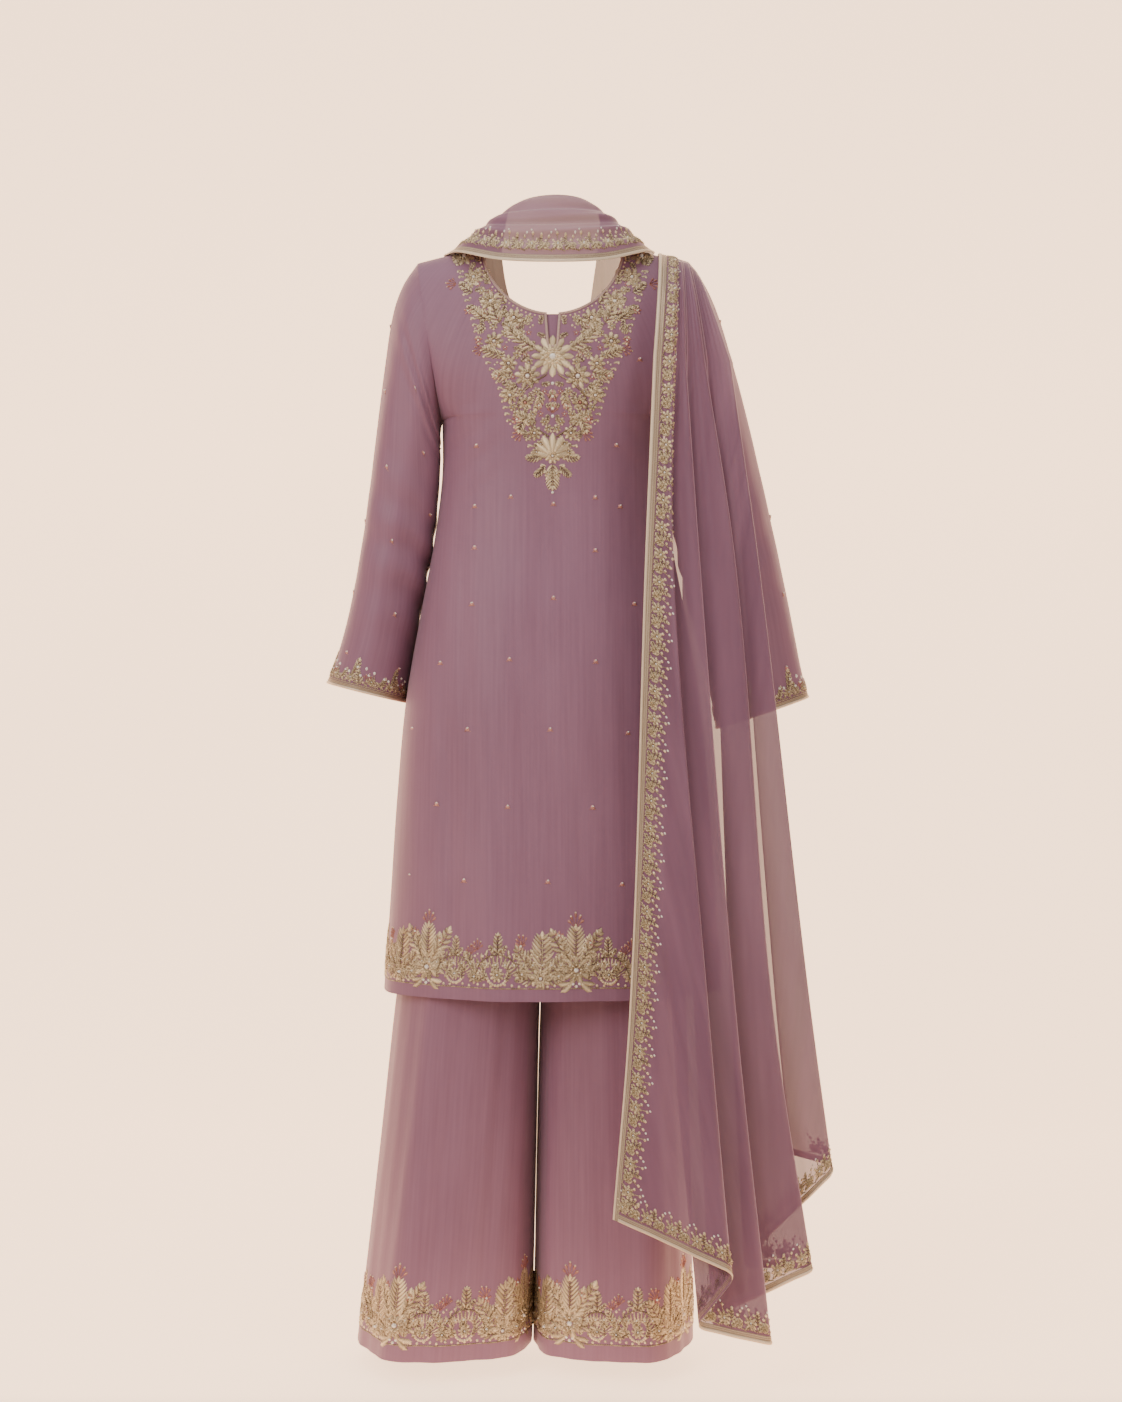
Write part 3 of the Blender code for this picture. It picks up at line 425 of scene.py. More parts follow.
rings = np.concatenate([np.linspace(0.004, 2, 26), np.linspace(2, CUFF_RING, 96)[1:]])
sleeve_left = tube("sleeve_left_cloth", left_sleeve, rings, 80, CLOTH, lilac)
sleeve_right = tube("sleeve_right_cloth", right_sleeve, rings, 80, CLOTH, lilac)
for piece, node in ((sleeve_left, "sleeve_left"), (sleeve_right, "sleeve_right")):
    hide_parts(node)

# Neck piping, slit underlap and cuff tapes
# A thin corded piping of gold thread follows each neckline and both sides of the slit, a strip of the silk lies
# behind the slit, and a ribbed gold tape edges each cuff. All are laid on the cloth's outer face.
PIPING = 0.0035
CUFF_TAPE = 0.008


def zari(name, deep, pale, metal, ribs, rib_spacing):
    """Gold thread: a metallic yarn between two tones, ribbed along or aslant its map. The tone painted in adds,
    on the tapes, a painted highlight on the raised cords and painted shade in the grooves between them.
    """
    made = bpy.data.materials.new(name)
    made.use_nodes = True
    nodes, links = made.node_tree.nodes, made.node_tree.links
    shader = nodes["Principled BSDF"]
    place = nodes.new("ShaderNodeUVMap")
    place.uv_map = "flat"
    speck = nodes.new("ShaderNodeTexNoise")
    speck.inputs["Scale"].default_value = 900
    speck.inputs["Detail"].default_value = 2
    links.new(place.outputs["UV"], speck.inputs["Vector"])
    thread = nodes.new("ShaderNodeTexWave")
    thread.bands_direction = "DIAGONAL" if ribs == "slant" else "Y"
    thread.inputs["Scale"].default_value = 1 / rib_spacing
    thread.inputs["Distortion"].default_value = 1.5
    links.new(place.outputs["UV"], thread.inputs["Vector"])
    blend = nodes.new("ShaderNodeMix")
    blend.data_type = "FLOAT"
    blend.inputs["Factor"].default_value = 0.5
    links.new(speck.outputs["Fac"], blend.inputs[2])
    links.new(thread.outputs["Fac"], blend.inputs[3])
    # Tone painted in: on the tapes a painted highlight on raised cords and painted shade in grooves.
    cord = nodes.new("ShaderNodeAttribute")
    cord.attribute_name = "tone"
    tone_with_painted_light = nodes.new("ShaderNodeMath")
    tone_with_painted_light.operation = "ADD"
    links.new(blend.outputs[0], tone_with_painted_light.inputs[0])
    links.new(cord.outputs["Fac"], tone_with_painted_light.inputs[1])
    tint = nodes.new("ShaderNodeValToRGB")
    tint.color_ramp.elements[0].position = 0.25
    tint.color_ramp.elements[0].color = deep
    tint.color_ramp.elements[1].position = 0.95
    tint.color_ramp.elements[1].color = pale
    links.new(tone_with_painted_light.outputs[0], tint.inputs["Fac"])
    links.new(tint.outputs["Color"], shader.inputs["Base Color"])
    bump = nodes.new("ShaderNodeBump")
    bump.inputs["Strength"].default_value = 0.5
    bump.inputs["Distance"].default_value = 0.0004
    links.new(thread.outputs["Fac"], bump.inputs["Height"])
    links.new(bump.outputs["Normal"], shader.inputs["Normal"])
    shader.inputs["Metallic"].default_value = metal
    shader.inputs["Roughness"].default_value = 0.42
    return made


def piping(name, side, finish):
    """A half-round cord on the panel's outer face along its neckline, seen as rows of points across the cord."""
    beside_slit = np.concatenate([np.linspace(3, 10, 12), np.linspace(10, 66, 60)[1:]])
    half = beside_slit if side < 0 else np.linspace(0, 65.4, 70)
    angle = np.concatenate([-half[::-1], half if side < 0 else half[1:]])
    x, z = top_edge(angle, side)
    way = unit(np.gradient(np.stack([x, z], -1), axis=0))
    outward = np.stack([way[:, 1], -way[:, 0]], -1)
    rows = []
    for share in np.linspace(0, 1, 7):
        px, pz = x + outward[:, 0] * PIPING * share, z + outward[:, 1] * PIPING * share
        pz = np.minimum(pz, ridge_z(px) - 0.0001)
        lift = 0.0004 + 0.0010 * math.sqrt(4 * share * (1 - share))
        rows.append(np.stack([px, side * (soft_y(px, pz, side) + SEAM / 2 + lift), pz], -1))
    grid = np.stack(rows)
    return cloth(name, grid, facing(face_normals(grid), np.array([0, side, 0])), 0, finish)


tape_gold = zari("gold_tape", (0.20, 0.120, 0.070, 1), (0.84, 0.66, 0.47, 1), 0.30, "along", 0.0040)
cord_gold = zari("gold_cord", (0.34, 0.20, 0.17, 1), (0.74, 0.52, 0.44, 1), 0.15, "slant", 0.0030)
# Each tape across its width: the relief of its rows, and their tone, painted light: a painted highlight on the raised
# cords, painted shade in the low grooves.
TAPE_RELIEF = (0.0004, 0.0013, 0.0015, 0.0012, 0.0003, 0.0009, 0.0004, 0.0009, 0.0003)
TAPE_PAINTED_LIGHT = np.array((0.30, 0.42, 0.46, 0.40, -0.20, 0.10, -0.16, 0.10, -0.20))
piping_back = piping("neck_piping_back_cord", -1, cord_gold)
piping_front = piping("neck_piping_front_cord", 1, cord_gold)
lap_x, lap_z = np.meshgrid(np.linspace(-0.016, 0.016, 17), np.linspace(-0.164, -0.1035, 30))
lap = np.stack([lap_x, -(soft_y(lap_x, lap_z, -1) + SEAM / 2 - 0.0022), lap_z], -1)
underlap = cloth("slit_underlap_cloth", lap, facing(face_normals(lap), np.array([0, -1, 0])), 0.0010, lilac)
for name, surface, sign in (("cuff_tape_left", left_sleeve, -1), ("cuff_tape_right", right_sleeve, 1)):
    turn = np.linspace(0, 2 * math.pi, 90, endpoint=False)
    band_rings = CUFF_RING - np.linspace(0, CUFF_TAPE, 9) / 0.040
    band_grid = surface(turn[None, :], band_rings[:, None])
    band_out = facing(face_normals(band_grid, True), band_grid - band_grid.mean(axis=1, keepdims=True))
    raised = band_grid + band_out * np.array(TAPE_RELIEF)[:, None, None]
    cloth(name + "_ribbed", raised, band_out, 0.0006, tape_gold, True, TAPE_PAINTED_LIGHT[:, None])
    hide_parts(name)
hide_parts("neck_piping_back")
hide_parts("neck_piping_front")
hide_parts("slit_underlap")

# Palazzo
# Wide trousers of the same silk: a back and a front panel for each leg, sewn along the outside and inside of the
# leg and up the middle, and gathered into a waistband under the kurta. The legs hang in broad soft folds.
LEG_COLUMNS = ("z", "left_in", "left_out", "right_in", "right_out", "back", "front")
LEG_SECTIONS = (
    (-1.4755, -0.0280, -0.2650, -0.0265, 0.1900, 0.118, 0.108),
    (-1.3500, -0.0253, -0.2500, -0.0241, 0.1885, 0.115, 0.106),
    (-1.2000, -0.0222, -0.2330, -0.0212, 0.1860, 0.112, 0.104),
    (-1.0300, -0.0182, -0.2145, -0.0172, 0.1810, 0.112, 0.103),
    (-0.8700, -0.0112, -0.1940, -0.0102, 0.1740, 0.112, 0.103),
    (-0.6900, -0.0040, -0.1780, -0.0040, 0.1700, 0.116, 0.104),
)
LEG_HEM_Z, CROTCH_Z, MERGE_Z, WAIST_Z, BAND_TOP_Z = -1.4755, -0.690, -0.600, -0.375, -0.337
LEG_ROWS = 74
HIP_COLUMNS = ("z", "half_width", "back", "front")
HIP_SECTIONS = (
    (-0.690, 0.1740, 0.1160, 0.1040),
    (-0.600, 0.1740, 0.1305, 0.1080),
    (-0.500, 0.1560, 0.1130, 0.1020),
    (-0.430, 0.1360, 0.0950, 0.0930),
    (-0.375, 0.1220, 0.0850, 0.0850),
)
LEG_FOLDS = (
    (38, 0.0055, 13, -0.80),
    (78, -0.0060, 14, -0.75),
    (118, 0.0065, 14, -0.80),
    (152, -0.0050, 12, -0.85),
)


def leg(share, z, hand, side):
    """A point of one quarter of the palazzo: share is 0 at the inner seam and 1 at the outer one."""
    share, z = np.broadcast_arrays(np.asarray(share, float), np.asarray(z, float))
    keys, hip = column(LEG_SECTIONS, LEG_COLUMNS, "z"), column(HIP_SECTIONS, HIP_COLUMNS, "z")
    which, depth_of = ("left" if hand < 0 else "right"), ("back" if side < 0 else "front")
    inner = curve(z, keys, column(LEG_SECTIONS, LEG_COLUMNS, which + "_in"))
    outer = curve(z, keys, column(LEG_SECTIONS, LEG_COLUMNS, which + "_out"))
    wide = curve(z, hip, column(HIP_SECTIONS, HIP_COLUMNS, "half_width"))
    rise = np.clip((z - CROTCH_Z) / (MERGE_Z - CROTCH_Z), 0, 1)
    low = z <= CROTCH_Z
    near = np.where(low, inner, column(LEG_SECTIONS, LEG_COLUMNS, "left_in")[-1] * (1 - rise))
    shift = wide / 2 * (1 - rise)
    half = np.where(low, np.abs(outer - inner) / 2, wide - shift)
    middle = np.where(low, (inner + outer) / 2, near + hand * shift)
    start = np.where(low, 0, np.arccos(np.clip(shift / half, 0, 1) ** (SQUARENESS / 2)))
    deep_low = curve(z, keys, column(LEG_SECTIONS, LEG_COLUMNS, depth_of))
    deep = np.where(low, deep_low, curve(z, hip, column(HIP_SECTIONS, HIP_COLUMNS, depth_of)))
    turn = start + (math.pi - start) * share
    across, out = superellipse(turn - math.pi / 2)
    pushed = fold_depth(LEG_FOLDS, np.degrees(turn), z, LEG_HEM_Z)
    grown = np.clip((-0.62 - z) / 0.5, 0, 1)
    wave = 0.0014 * np.sin(share * 31 + 1.3 * np.sin(z * 4 + hand))
    wave = wave + 0.0007 * np.sin(share * 67 + 2 * np.sin(z * 5))
    pushed = pushed + wave * grown * np.sin(math.pi * share) ** 0.5
    x = middle + hand * (half + pushed) * across
    x = np.where((share < 1e-9) & ~low, near + hand * SEAM / 2, x)
    return np.stack([x, side * ((deep + pushed) * out + SEAM / 2), z], -1)


for hand, which in ((-1, "left"), (1, "right")):
    for side, face in ((-1, "back"), (1, "front")):
        node = f"palazzo_{which}_{face}"
        below, above = np.linspace(LEG_HEM_Z, CROTCH_Z, LEG_ROWS), np.linspace(CROTCH_Z, WAIST_Z, 28)[1:]
        heights = np.concatenate([below, above])
        grid = leg(np.linspace(0, 1, 51)[None, :], heights[:, None], hand, side)
        normals = facing(face_normals(grid), np.array([0, side, 0]))
        normals[:, -1, 1] = 0
        normals[:LEG_ROWS, 0, 1] = 0
        normals[LEG_ROWS:, 0, 0] = 0
        cloth(node + "_cloth", grid, unit(normals), CLOTH, lilac)
        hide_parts(node)
turn = np.linspace(0, 2 * math.pi, 160, endpoint=False)
across, deep = superellipse(turn)
ruffle = 1 + 0.012 * np.sin(turn * 40)
band_rows = []
for z, swell in ((WAIST_Z + SEAM, 0), (-0.370, 0.6), (-0.356, 1), (-0.342, 0.6), (BAND_TOP_Z, 0)):
    wide, back = HIP_SECTIONS[-1][1], HIP_SECTIONS[-1][2]
    push = 1 + (ruffle - 1) * swell
    y = np.where(np.cos(turn) >= 0, -back, back) * deep * push
    band_rows.append(np.stack([wide * across * push, y, np.full(160, z)], -1))
band_grid = np.stack(band_rows)
band_out = facing(face_normals(band_grid, True), band_grid * np.array([1, 1, 0]))
waistband = cloth("palazzo_waistband_cloth", band_grid, band_out, 0.003, lilac, True)
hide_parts("palazzo_waistband")

# Dupatta
# One long rectangle of sheer organza with a gold tape on its edges. Four stretches of it show: the end that hangs
# down the back in deep pleats, the wraps behind the neck and across the front, and the plain end in front.
BLADE_Z, CHEST_Z, KNEE_Z = -0.166, -0.420, -1.020
PLEAT_COLUMNS = (
    "share", "x_ridge", "x_blade", "x_chest", "x_knee", "x_hem",
    "y_blade", "y_chest", "y_knee", "y_hem", "z_hem",
)
PLEATS = (
    (0.000, 0.1425, 0.1300, 0.1185, 0.0930, 0.0710, -0.1240, -0.146, -0.200, -0.222, -1.2590),
    (0.175, 0.1640, 0.1590, 0.1580, 0.2050, 0.2330, -0.1230, -0.145, -0.198, -0.215, -1.3350),
    (0.270, 0.1665, 0.1610, 0.1300, 0.1450, 0.1780, -0.1165, -0.135, -0.182, -0.194, -1.4080),
    (0.385, 0.1725, 0.1740, 0.1945, 0.2430, 0.2890, -0.1120, -0.130, -0.172, -0.176, -1.4360),
    (0.480, 0.1750, 0.1760, 0.1650, 0.1750, 0.1950, -0.1050, -0.120, -0.156, -0.157, -1.4100),
    (0.640, 0.1805, 0.2000, 0.2410, 0.2920, 0.3450, -0.0990, -0.115, -0.146, -0.140, -1.3460),
    (0.745, 0.1835, 0.2025, 0.2080, 0.2250, 0.2410, -0.0920, -0.106, -0.128, -0.121, -1.3500),
    (0.925, 0.1910, 0.2350, 0.2720, 0.3440, 0.3745, -0.0850, -0.100, -0.116, -0.103, -1.2250),
    (1.000, 0.1950, 0.2390, 0.2480, 0.2900, 0.3090, -0.0750, -0.090, -0.096, -0.085, -1.2100),
)
PLEAT_TURN, PLEAT_GAP, RIDGE_LIFT, EDGE_TAPE = 0.016, 0.006, 0.0019, 0.011
BAND_COLUMNS = ("in_x", "in_y", "in_z", "out_x", "out_y", "out_z", "bulge")
COLLAR = (
    (0.0640, -0.0002, 0.0380, 0.1385, -0.0002, -0.0045, 0.006),
    (0.0560, -0.0300, 0.0520, 0.1230, -0.0560, -0.0150, 0.008),
    (0.0350, -0.0500, 0.0590, 0.0700, -0.0900, -0.0330, 0.007),
    (0.0030, -0.0570, 0.0610, 0.0000, -0.1010, -0.0380, 0.006),
    (-0.0320, -0.0500, 0.0580, -0.0700, -0.0900, -0.0330, 0.007),
    (-0.0560, -0.0300, 0.0500, -0.1250, -0.0560, -0.0160, 0.008),
    (-0.0640, -0.0002, 0.0360, -0.1480, -0.0002, -0.0085, 0.006),
)
COWL = (
    (-0.0640, 0.0002, 0.0360, -0.1480, 0.0002, -0.0085, 0.006),
    (-0.0700, 0.0500, -0.0050, -0.1420, 0.0880, -0.0600, 0.010),
    (-0.0520, 0.0980, -0.0650, -0.0950, 0.1400, -0.1700, 0.014),
    (0.0050, 0.1300, -0.1050, 0.0000, 0.1680, -0.2500, 0.016),
    (0.0650, 0.1360, -0.0980, 0.0950, 0.1630, -0.2150, 0.014),
    (0.1180, 0.1080, -0.0500, 0.1600, 0.1280, -0.1200, 0.008),
    (0.1350, 0.0560, -0.0070, 0.1800, 0.0700, -0.0560, 0.010),
    (0.1425, 0.0002, -0.0080, 0.1950, 0.0002, -0.0322, 0.022),
)
FRONT_END_COLUMNS = ("z_in", "z_out", "x_in", "x_out", "y")
FRONT_END = (
    (0.0380, -0.0045, 0.0640, 0.1385, 0.0002),
    (0.0120, -0.0120, 0.0620, 0.1330, 0.0480),
    (-0.0700, -0.0700, 0.0500, 0.1350, 0.0980),
    (-0.1600, -0.1600, 0.0400, 0.1330, 0.1230),
    (-0.3000, -0.3000, 0.0300, 0.1400, 0.1430),
    (-0.4600, -0.4600, 0.0150, 0.1550, 0.1450),
    (-0.6200, -0.6200, 0.0000, 0.1700, 0.1480),
)
BAND_RIPPLES, BAND_RIPPLE_DEPTH = 4, 0.0035


def organza(name, deep, pale, cover):
    """Sheer organza: crossed fine threads that cover most of what lies behind. Along the turns of the pleats its
    tone paints a highlight: the colour is made pale there and the cloth covers more."""
    made = bpy.data.materials.new(name)
    made.use_nodes = True
    nodes, links = made.node_tree.nodes, made.node_tree.links
    shader = nodes["Principled BSDF"]
    place = nodes.new("ShaderNodeUVMap")
    place.uv_map = "flat"
    stretch = nodes.new("ShaderNodeMapping")
    stretch.inputs["Scale"].default_value = (26, 3, 1)
    slub = nodes.new("ShaderNodeTexNoise")
    slub.inputs["Scale"].default_value = 1.0
    slub.inputs["Detail"].default_value = 3
    links.new(place.outputs["UV"], stretch.inputs["Vector"])
    links.new(stretch.outputs["Vector"], slub.inputs["Vector"])
    tint = nodes.new("ShaderNodeValToRGB")
    tint.color_ramp.elements[0].position = 0.3
    tint.color_ramp.elements[0].color = deep
    tint.color_ramp.elements[1].position = 0.7
    tint.color_ramp.elements[1].color = pale
    links.new(slub.outputs["Fac"], tint.inputs["Fac"])
    # Painted highlight along the pleat turns: the tone mixes in a pale colour and raises the cover.
    fold = nodes.new("ShaderNodeAttribute")
    fold.attribute_name = "tone"
    painted_highlight_colour = nodes.new("ShaderNodeMix")
    painted_highlight_colour.data_type = "RGBA"
    painted_highlight_colour.inputs["B"].default_value = (min(1, pale[0] * 1.9), min(1, pale[1] * 2.2), min(1, pale[2] * 2.0), 1)
    links.new(fold.outputs["Fac"], painted_highlight_colour.inputs["Factor"])
    links.new(tint.outputs["Color"], painted_highlight_colour.inputs["A"])
    links.new(painted_highlight_colour.outputs["Result"], shader.inputs["Base Color"])
    veil = nodes.new("ShaderNodeMapRange")
    veil.inputs["From Min"].default_value = 0.3
    veil.inputs["From Max"].default_value = 0.7
    veil.inputs["To Min"].default_value = cover - 0.03
    veil.inputs["To Max"].default_value = cover + 0.03
    links.new(slub.outputs["Fac"], veil.inputs["Value"])
    highlight_cover = nodes.new("ShaderNodeMath")
    highlight_cover.operation = "MULTIPLY_ADD"
    highlight_cover.use_clamp = True
    highlight_cover.inputs[1].default_value = 0.25
    links.new(fold.outputs["Fac"], highlight_cover.inputs[0])
    links.new(veil.outputs["Result"], highlight_cover.inputs[2])
    links.new(highlight_cover.outputs[0], shader.inputs["Alpha"])
    crinkle = nodes.new("ShaderNodeTexNoise")
    crinkle.inputs["Scale"].default_value = 90
    crinkle.inputs["Detail"].default_value = 3
    links.new(place.outputs["UV"], crinkle.inputs["Vector"])
    bump = nodes.new("ShaderNodeBump")
    bump.inputs["Strength"].default_value = 0.25
    bump.inputs["Distance"].default_value = 0.001
    links.new(crinkle.outputs["Fac"], bump.inputs["Height"])
    links.new(bump.outputs["Normal"], shader.inputs["Normal"])
    shader.inputs["Roughness"].default_value = 0.5
    shader.inputs["Specular IOR Level"].default_value = 0.3
    shader.inputs["Sheen Weight"].default_value = 0.35
    shader.inputs["Sheen Roughness"].default_value = 0.4
    shader.inputs["Sheen Tint"].default_value = (1.0, 0.88, 0.93, 1)
    return made


def rounded(share, keys, values):
    """Straight runs between fold lines with rounded turns: the mean of the run over a short stretch."""
    offsets = np.linspace(-PLEAT_TURN, PLEAT_TURN, 5)
    return sum(np.interp(np.clip(share + offset, 0, 1), keys, values) for offset in offsets) / len(offsets)


def pleat_gap(share, keys):
    """How far each layer stands off the middle of its pleat: the cloth steps back by the gap at every turn."""
    turned = sum(np.clip((share - key) / (2 * PLEAT_TURN) + 0.5, 0, 1) for key in keys[1:-1])
    return PLEAT_GAP * (turned - np.interp(share, keys[1:-1], np.arange(len(keys) - 2) + 0.5))


def ridge_top(x):
    """Height of the top line of kurta and sleeve, along the shoulder and on down the sleeve's head."""
    outer_x = column(RIGHT_SLEEVE, SLEEVE_COLUMNS, "outer_x")
    outer_z = column(RIGHT_SLEEVE, SLEEVE_COLUMNS, "outer_z")
    return np.where(np.abs(x) < TIP_X, ridge_z(x), np.interp(np.abs(x), outer_x, outer_z))


def hanging(share, drop):
    """A point of the stretch down the back. share runs across the cloth from its bordered edge, and drop down it:
    0 on the shoulder ridge, 1 at the blade and 2 at the hem. Fine gathers fan out from the shoulder."""
    share, drop = np.broadcast_arrays(np.asarray(share, float), np.asarray(drop, float))
    share = np.clip(share, 0, 1)
    keys = column(PLEATS, PLEAT_COLUMNS, "share")
    at = {name: rounded(share, keys, column(PLEATS, PLEAT_COLUMNS, name)) for name in PLEAT_COLUMNS[1:]}
    at["x_ridge"] = np.interp(share, keys, column(PLEATS, PLEAT_COLUMNS, "x_ridge"))
    gap = pleat_gap(share, keys) * (0.55 + 0.45 * np.clip(3 * drop - 3, 0, 1))
    ridge = ridge_top(at["x_ridge"]) + RIDGE_LIFT
    turn = np.clip(drop, 0, 1) * math.pi / 2
    z_over = BLADE_Z + (ridge - BLADE_Z) * np.cos(turn)
    y_over = (at["y_blade"] + gap) * np.sin(turn)
    x_over = at["x_ridge"] + (at["x_blade"] - at["x_ridge"]) * (1 - np.cos(turn))
    z_low = BLADE_Z + (at["z_hem"] - BLADE_Z) * np.clip(drop - 1, 0, 1)
    levels = np.stack([at["z_hem"]] + [np.full(share.shape, z) for z in (KNEE_Z, CHEST_Z, BLADE_Z)])
    names = ("hem", "knee", "chest", "blade")
    x_low = curve(z_low, levels, np.stack([at["x_" + n] for n in names]))
    y_low = curve(z_low, levels, np.stack([at["y_" + n] for n in names])) + gap
    over = drop <= 1
    x, y, z = np.where(over, x_over, x_low), np.where(over, y_over, y_low), np.where(over, z_over, z_low)
    loose = np.clip(drop / 0.35, 0, 1)
    wave = 0.0004 * np.sin(share * 150 + 1.2 * np.sin(drop * 3))
    wave = wave + 0.0012 * np.sin(share * 58 + 2.2 * np.sin(drop * 2.3)) * np.clip(drop - 0.7, 0, 1)
    return np.stack([x, y - SEAM / 2 + wave * loose, z], -1)


def wrap(v, at, table, clear):
    """A point of a wrap round the neck: v is 0 at its neck edge and 1 at its bordered edge, and at counts the
    table's sections. In front the wrap also keeps clear of the kurta, by more in its middle."""
    v, at = np.broadcast_arrays(np.asarray(v, float), np.asarray(at, float))
    v, keys = np.clip(v, 0, 1), np.arange(len(table))
    value = {n: curve(at, keys, column(table, BAND_COLUMNS, n)) for n in BAND_COLUMNS}
    near = np.stack([value["in_x"], value["in_y"], value["in_z"]], -1)
    far = np.stack([value["out_x"], value["out_y"], value["out_z"]], -1)
    step = 0.02
    later = {n: curve(at + step, keys, column(table, BAND_COLUMNS, n)) for n in BAND_COLUMNS[:6]}
    sooner = {n: curve(at - step, keys, column(table, BAND_COLUMNS, n)) for n in BAND_COLUMNS[:6]}
    run = [
        (later[a] - sooner[a]) * (1 - v) + (later[b] - sooner[b]) * v
        for a, b in zip(BAND_COLUMNS, BAND_COLUMNS[3:6])
    ]
    grid = near * (1 - v[..., None]) + far * v[..., None]
    out = unit(np.cross(np.stack(run, -1), far - near))
    out = out * np.sign(np.sum(out * (grid - np.array([0.0, 0.01, -0.10])), -1, keepdims=True))
    ends = np.clip(np.sin(math.pi * at / (len(table) - 1)), 0, 1)
    ripple = BAND_RIPPLE_DEPTH * np.sin(2 * math.pi * BAND_RIPPLES * v) * np.sin(math.pi * v) ** 0.5
    fine = 0.0010 * np.sin(56 * v + 1.5 * np.sin(at * 1.3)) * np.sin(math.pi * v)
    swell = value["bulge"] * np.sin(math.pi * v) * (0.3 + 0.7 * ends)
    grid = grid + out * (swell + (ripple + fine) * ends)[..., None]
    if clear:
        rest = clear * ends
        body = body_y(grid[..., 0], grid[..., 2] - rest - 0.0025, 1) + rest
        grid[..., 1] = np.where(ends > 0.01, np.maximum(grid[..., 1], body), grid[..., 1])
        top = ridge_top(grid[..., 0]) + RIDGE_LIFT
        grid[..., 2] = np.where(at > len(table) - 1.001, top, grid[..., 2])
    return grid


sheer = organza("sheer_lilac", (0.205, 0.092, 0.146, 1), (0.275, 0.130, 0.192, 1), 0.80)
doubled = organza("sheer_lilac_doubled", (0.215, 0.098, 0.150, 1), (0.285, 0.138, 0.200, 1), 0.95)
across = np.linspace(0, 1, 281)
down = np.concatenate([np.linspace(0, 1, 34), np.linspace(1, 2, 110)[1:]])
grid = hanging(across[None, :], down[:, None])
normals = face_normals(grid)
normals = normals * (1.0 if normals[0, 0, 2] > 0 else -1.0)
turns = column(PLEATS, PLEAT_COLUMNS, "share")[1:]
# A painted highlight along every turn of the pleats, as a narrow band of high tone.
painted_pleat_highlight = np.exp(-((np.abs(across[:, None] - turns[None, :]).min(axis=1) / 0.0045) ** 2))
dupatta_back = cloth("dupatta_back_cloth", grid, normals, 0, sheer, False, painted_pleat_highlight[None, :] * 0.75)
side_share = np.linspace(0, 1, 9)[None, :]
first_run = np.linalg.norm(hanging(0.06, down) - hanging(0.0, down), axis=-1)
tape_share = 0.06 * EDGE_TAPE / first_run
grid = hanging(side_share * tape_share[:, None], down[:, None])
normals = facing(face_normals(grid), np.array([0, -1, 0.3]))
raised = grid + normals * np.array(TAPE_RELIEF)[None, :, None]
tape_side = cloth("dupatta_tape_side_ribbed", raised, normals, 0.0006, tape_gold, False, TAPE_PAINTED_LIGHT[None, :])
hem_drop = 2 - np.linspace(0, 0.0105, 9) / 1.22
grid = hanging(across[None, 3:], hem_drop[:, None])
normals = face_normals(grid)
normals = normals * (1.0 if normals[0, 0, 1] < 0 else -1.0)
raised = grid + normals * np.array(TAPE_RELIEF)[:, None, None]
tape_hem = cloth("dupatta_tape_hem_ribbed", raised, normals, 0.0006, tape_gold, False, TAPE_PAINTED_LIGHT[:, None])
wraps = {}
for name, table, clear in (("dupatta_collar", COLLAR, 0), ("dupatta_cowl", COWL, 0.014)):
    at = np.linspace(0, len(table) - 1, 121)
    grid = wrap(np.linspace(0, 1, 71)[None, :], at[:, None], table, clear)
    normals = facing(face_normals(grid), grid - np.array([0.0, 0.01, -0.10]))
    wraps[name] = cloth(name + "_cloth", grid, normals, 0, doubled)
    ends = wrap(1.0, at, table, clear)
    width = np.linalg.norm(ends - wrap(0.9, at, table, clear), axis=-1) * 10
    v = 1 - np.linspace(0, 1, 9)[None, :] * (EDGE_TAPE / width)[:, None]
    grid = wrap(v, at[:, None], table, clear)
    normals = facing(face_normals(grid), grid - np.array([0.0, 0.01, -0.10]))
    raised = grid + normals * np.array(TAPE_RELIEF)[None, :, None]
    ribbed = cloth(name + "_tape_ribbed", raised, normals, 0.0006, tape_gold, False, TAPE_PAINTED_LIGHT[None, :])
    wraps[name + "_tape"] = ribbed
at = np.linspace(0, len(FRONT_END) - 1, 110)[:, None]
value = {
    n: curve(at, np.arange(len(FRONT_END)), column(FRONT_END, FRONT_END_COLUMNS, n)) for n in FRONT_END_COLUMNS
}
v = np.linspace(0, 1, 80)[None, :]
x = value["x_in"] + (value["x_out"] - value["x_in"]) * v
grown = np.clip(at / 3, 0, 1)
z = value["z_in"] + (value["z_out"] - value["z_in"]) * v + 0.0018 * np.sin(math.pi * v) * (1 - grown)
curl = 0.020 * (2 * v - 1) ** 2 * grown
on_body = body_y(x, z, 1) + 0.006 * np.clip(at, 0, 1)
y = np.maximum(value["y"] - curl, on_body) + 0.005 * (1 - np.cos(6 * math.pi * v)) * grown
y = y + 0.0012 * np.sin(44 * v + np.sin(at)) * grown
grid = np.stack([x, y, z], -1)
grid[0, :, 1] = SEAM / 2
front_end = cloth("dupatta_front_end_cloth", grid, facing(face_normals(grid), np.array([0, 1, 0])), 0, sheer)
for piece, node in (
    (dupatta_back, "dupatta_back"),
    (wraps["dupatta_collar"], "dupatta_collar"),
    (wraps["dupatta_cowl"], "dupatta_cowl"),
    (front_end, "dupatta_front_end"),
):
    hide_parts(node)
for piece, node in (
    (tape_side, "dupatta_tape_side"),
    (tape_hem, "dupatta_tape_hem"),
    (wraps["dupatta_collar_tape"], "dupatta_collar_tape"),
    (wraps["dupatta_cowl_tape"], "dupatta_cowl_tape"),
):
    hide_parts(node)

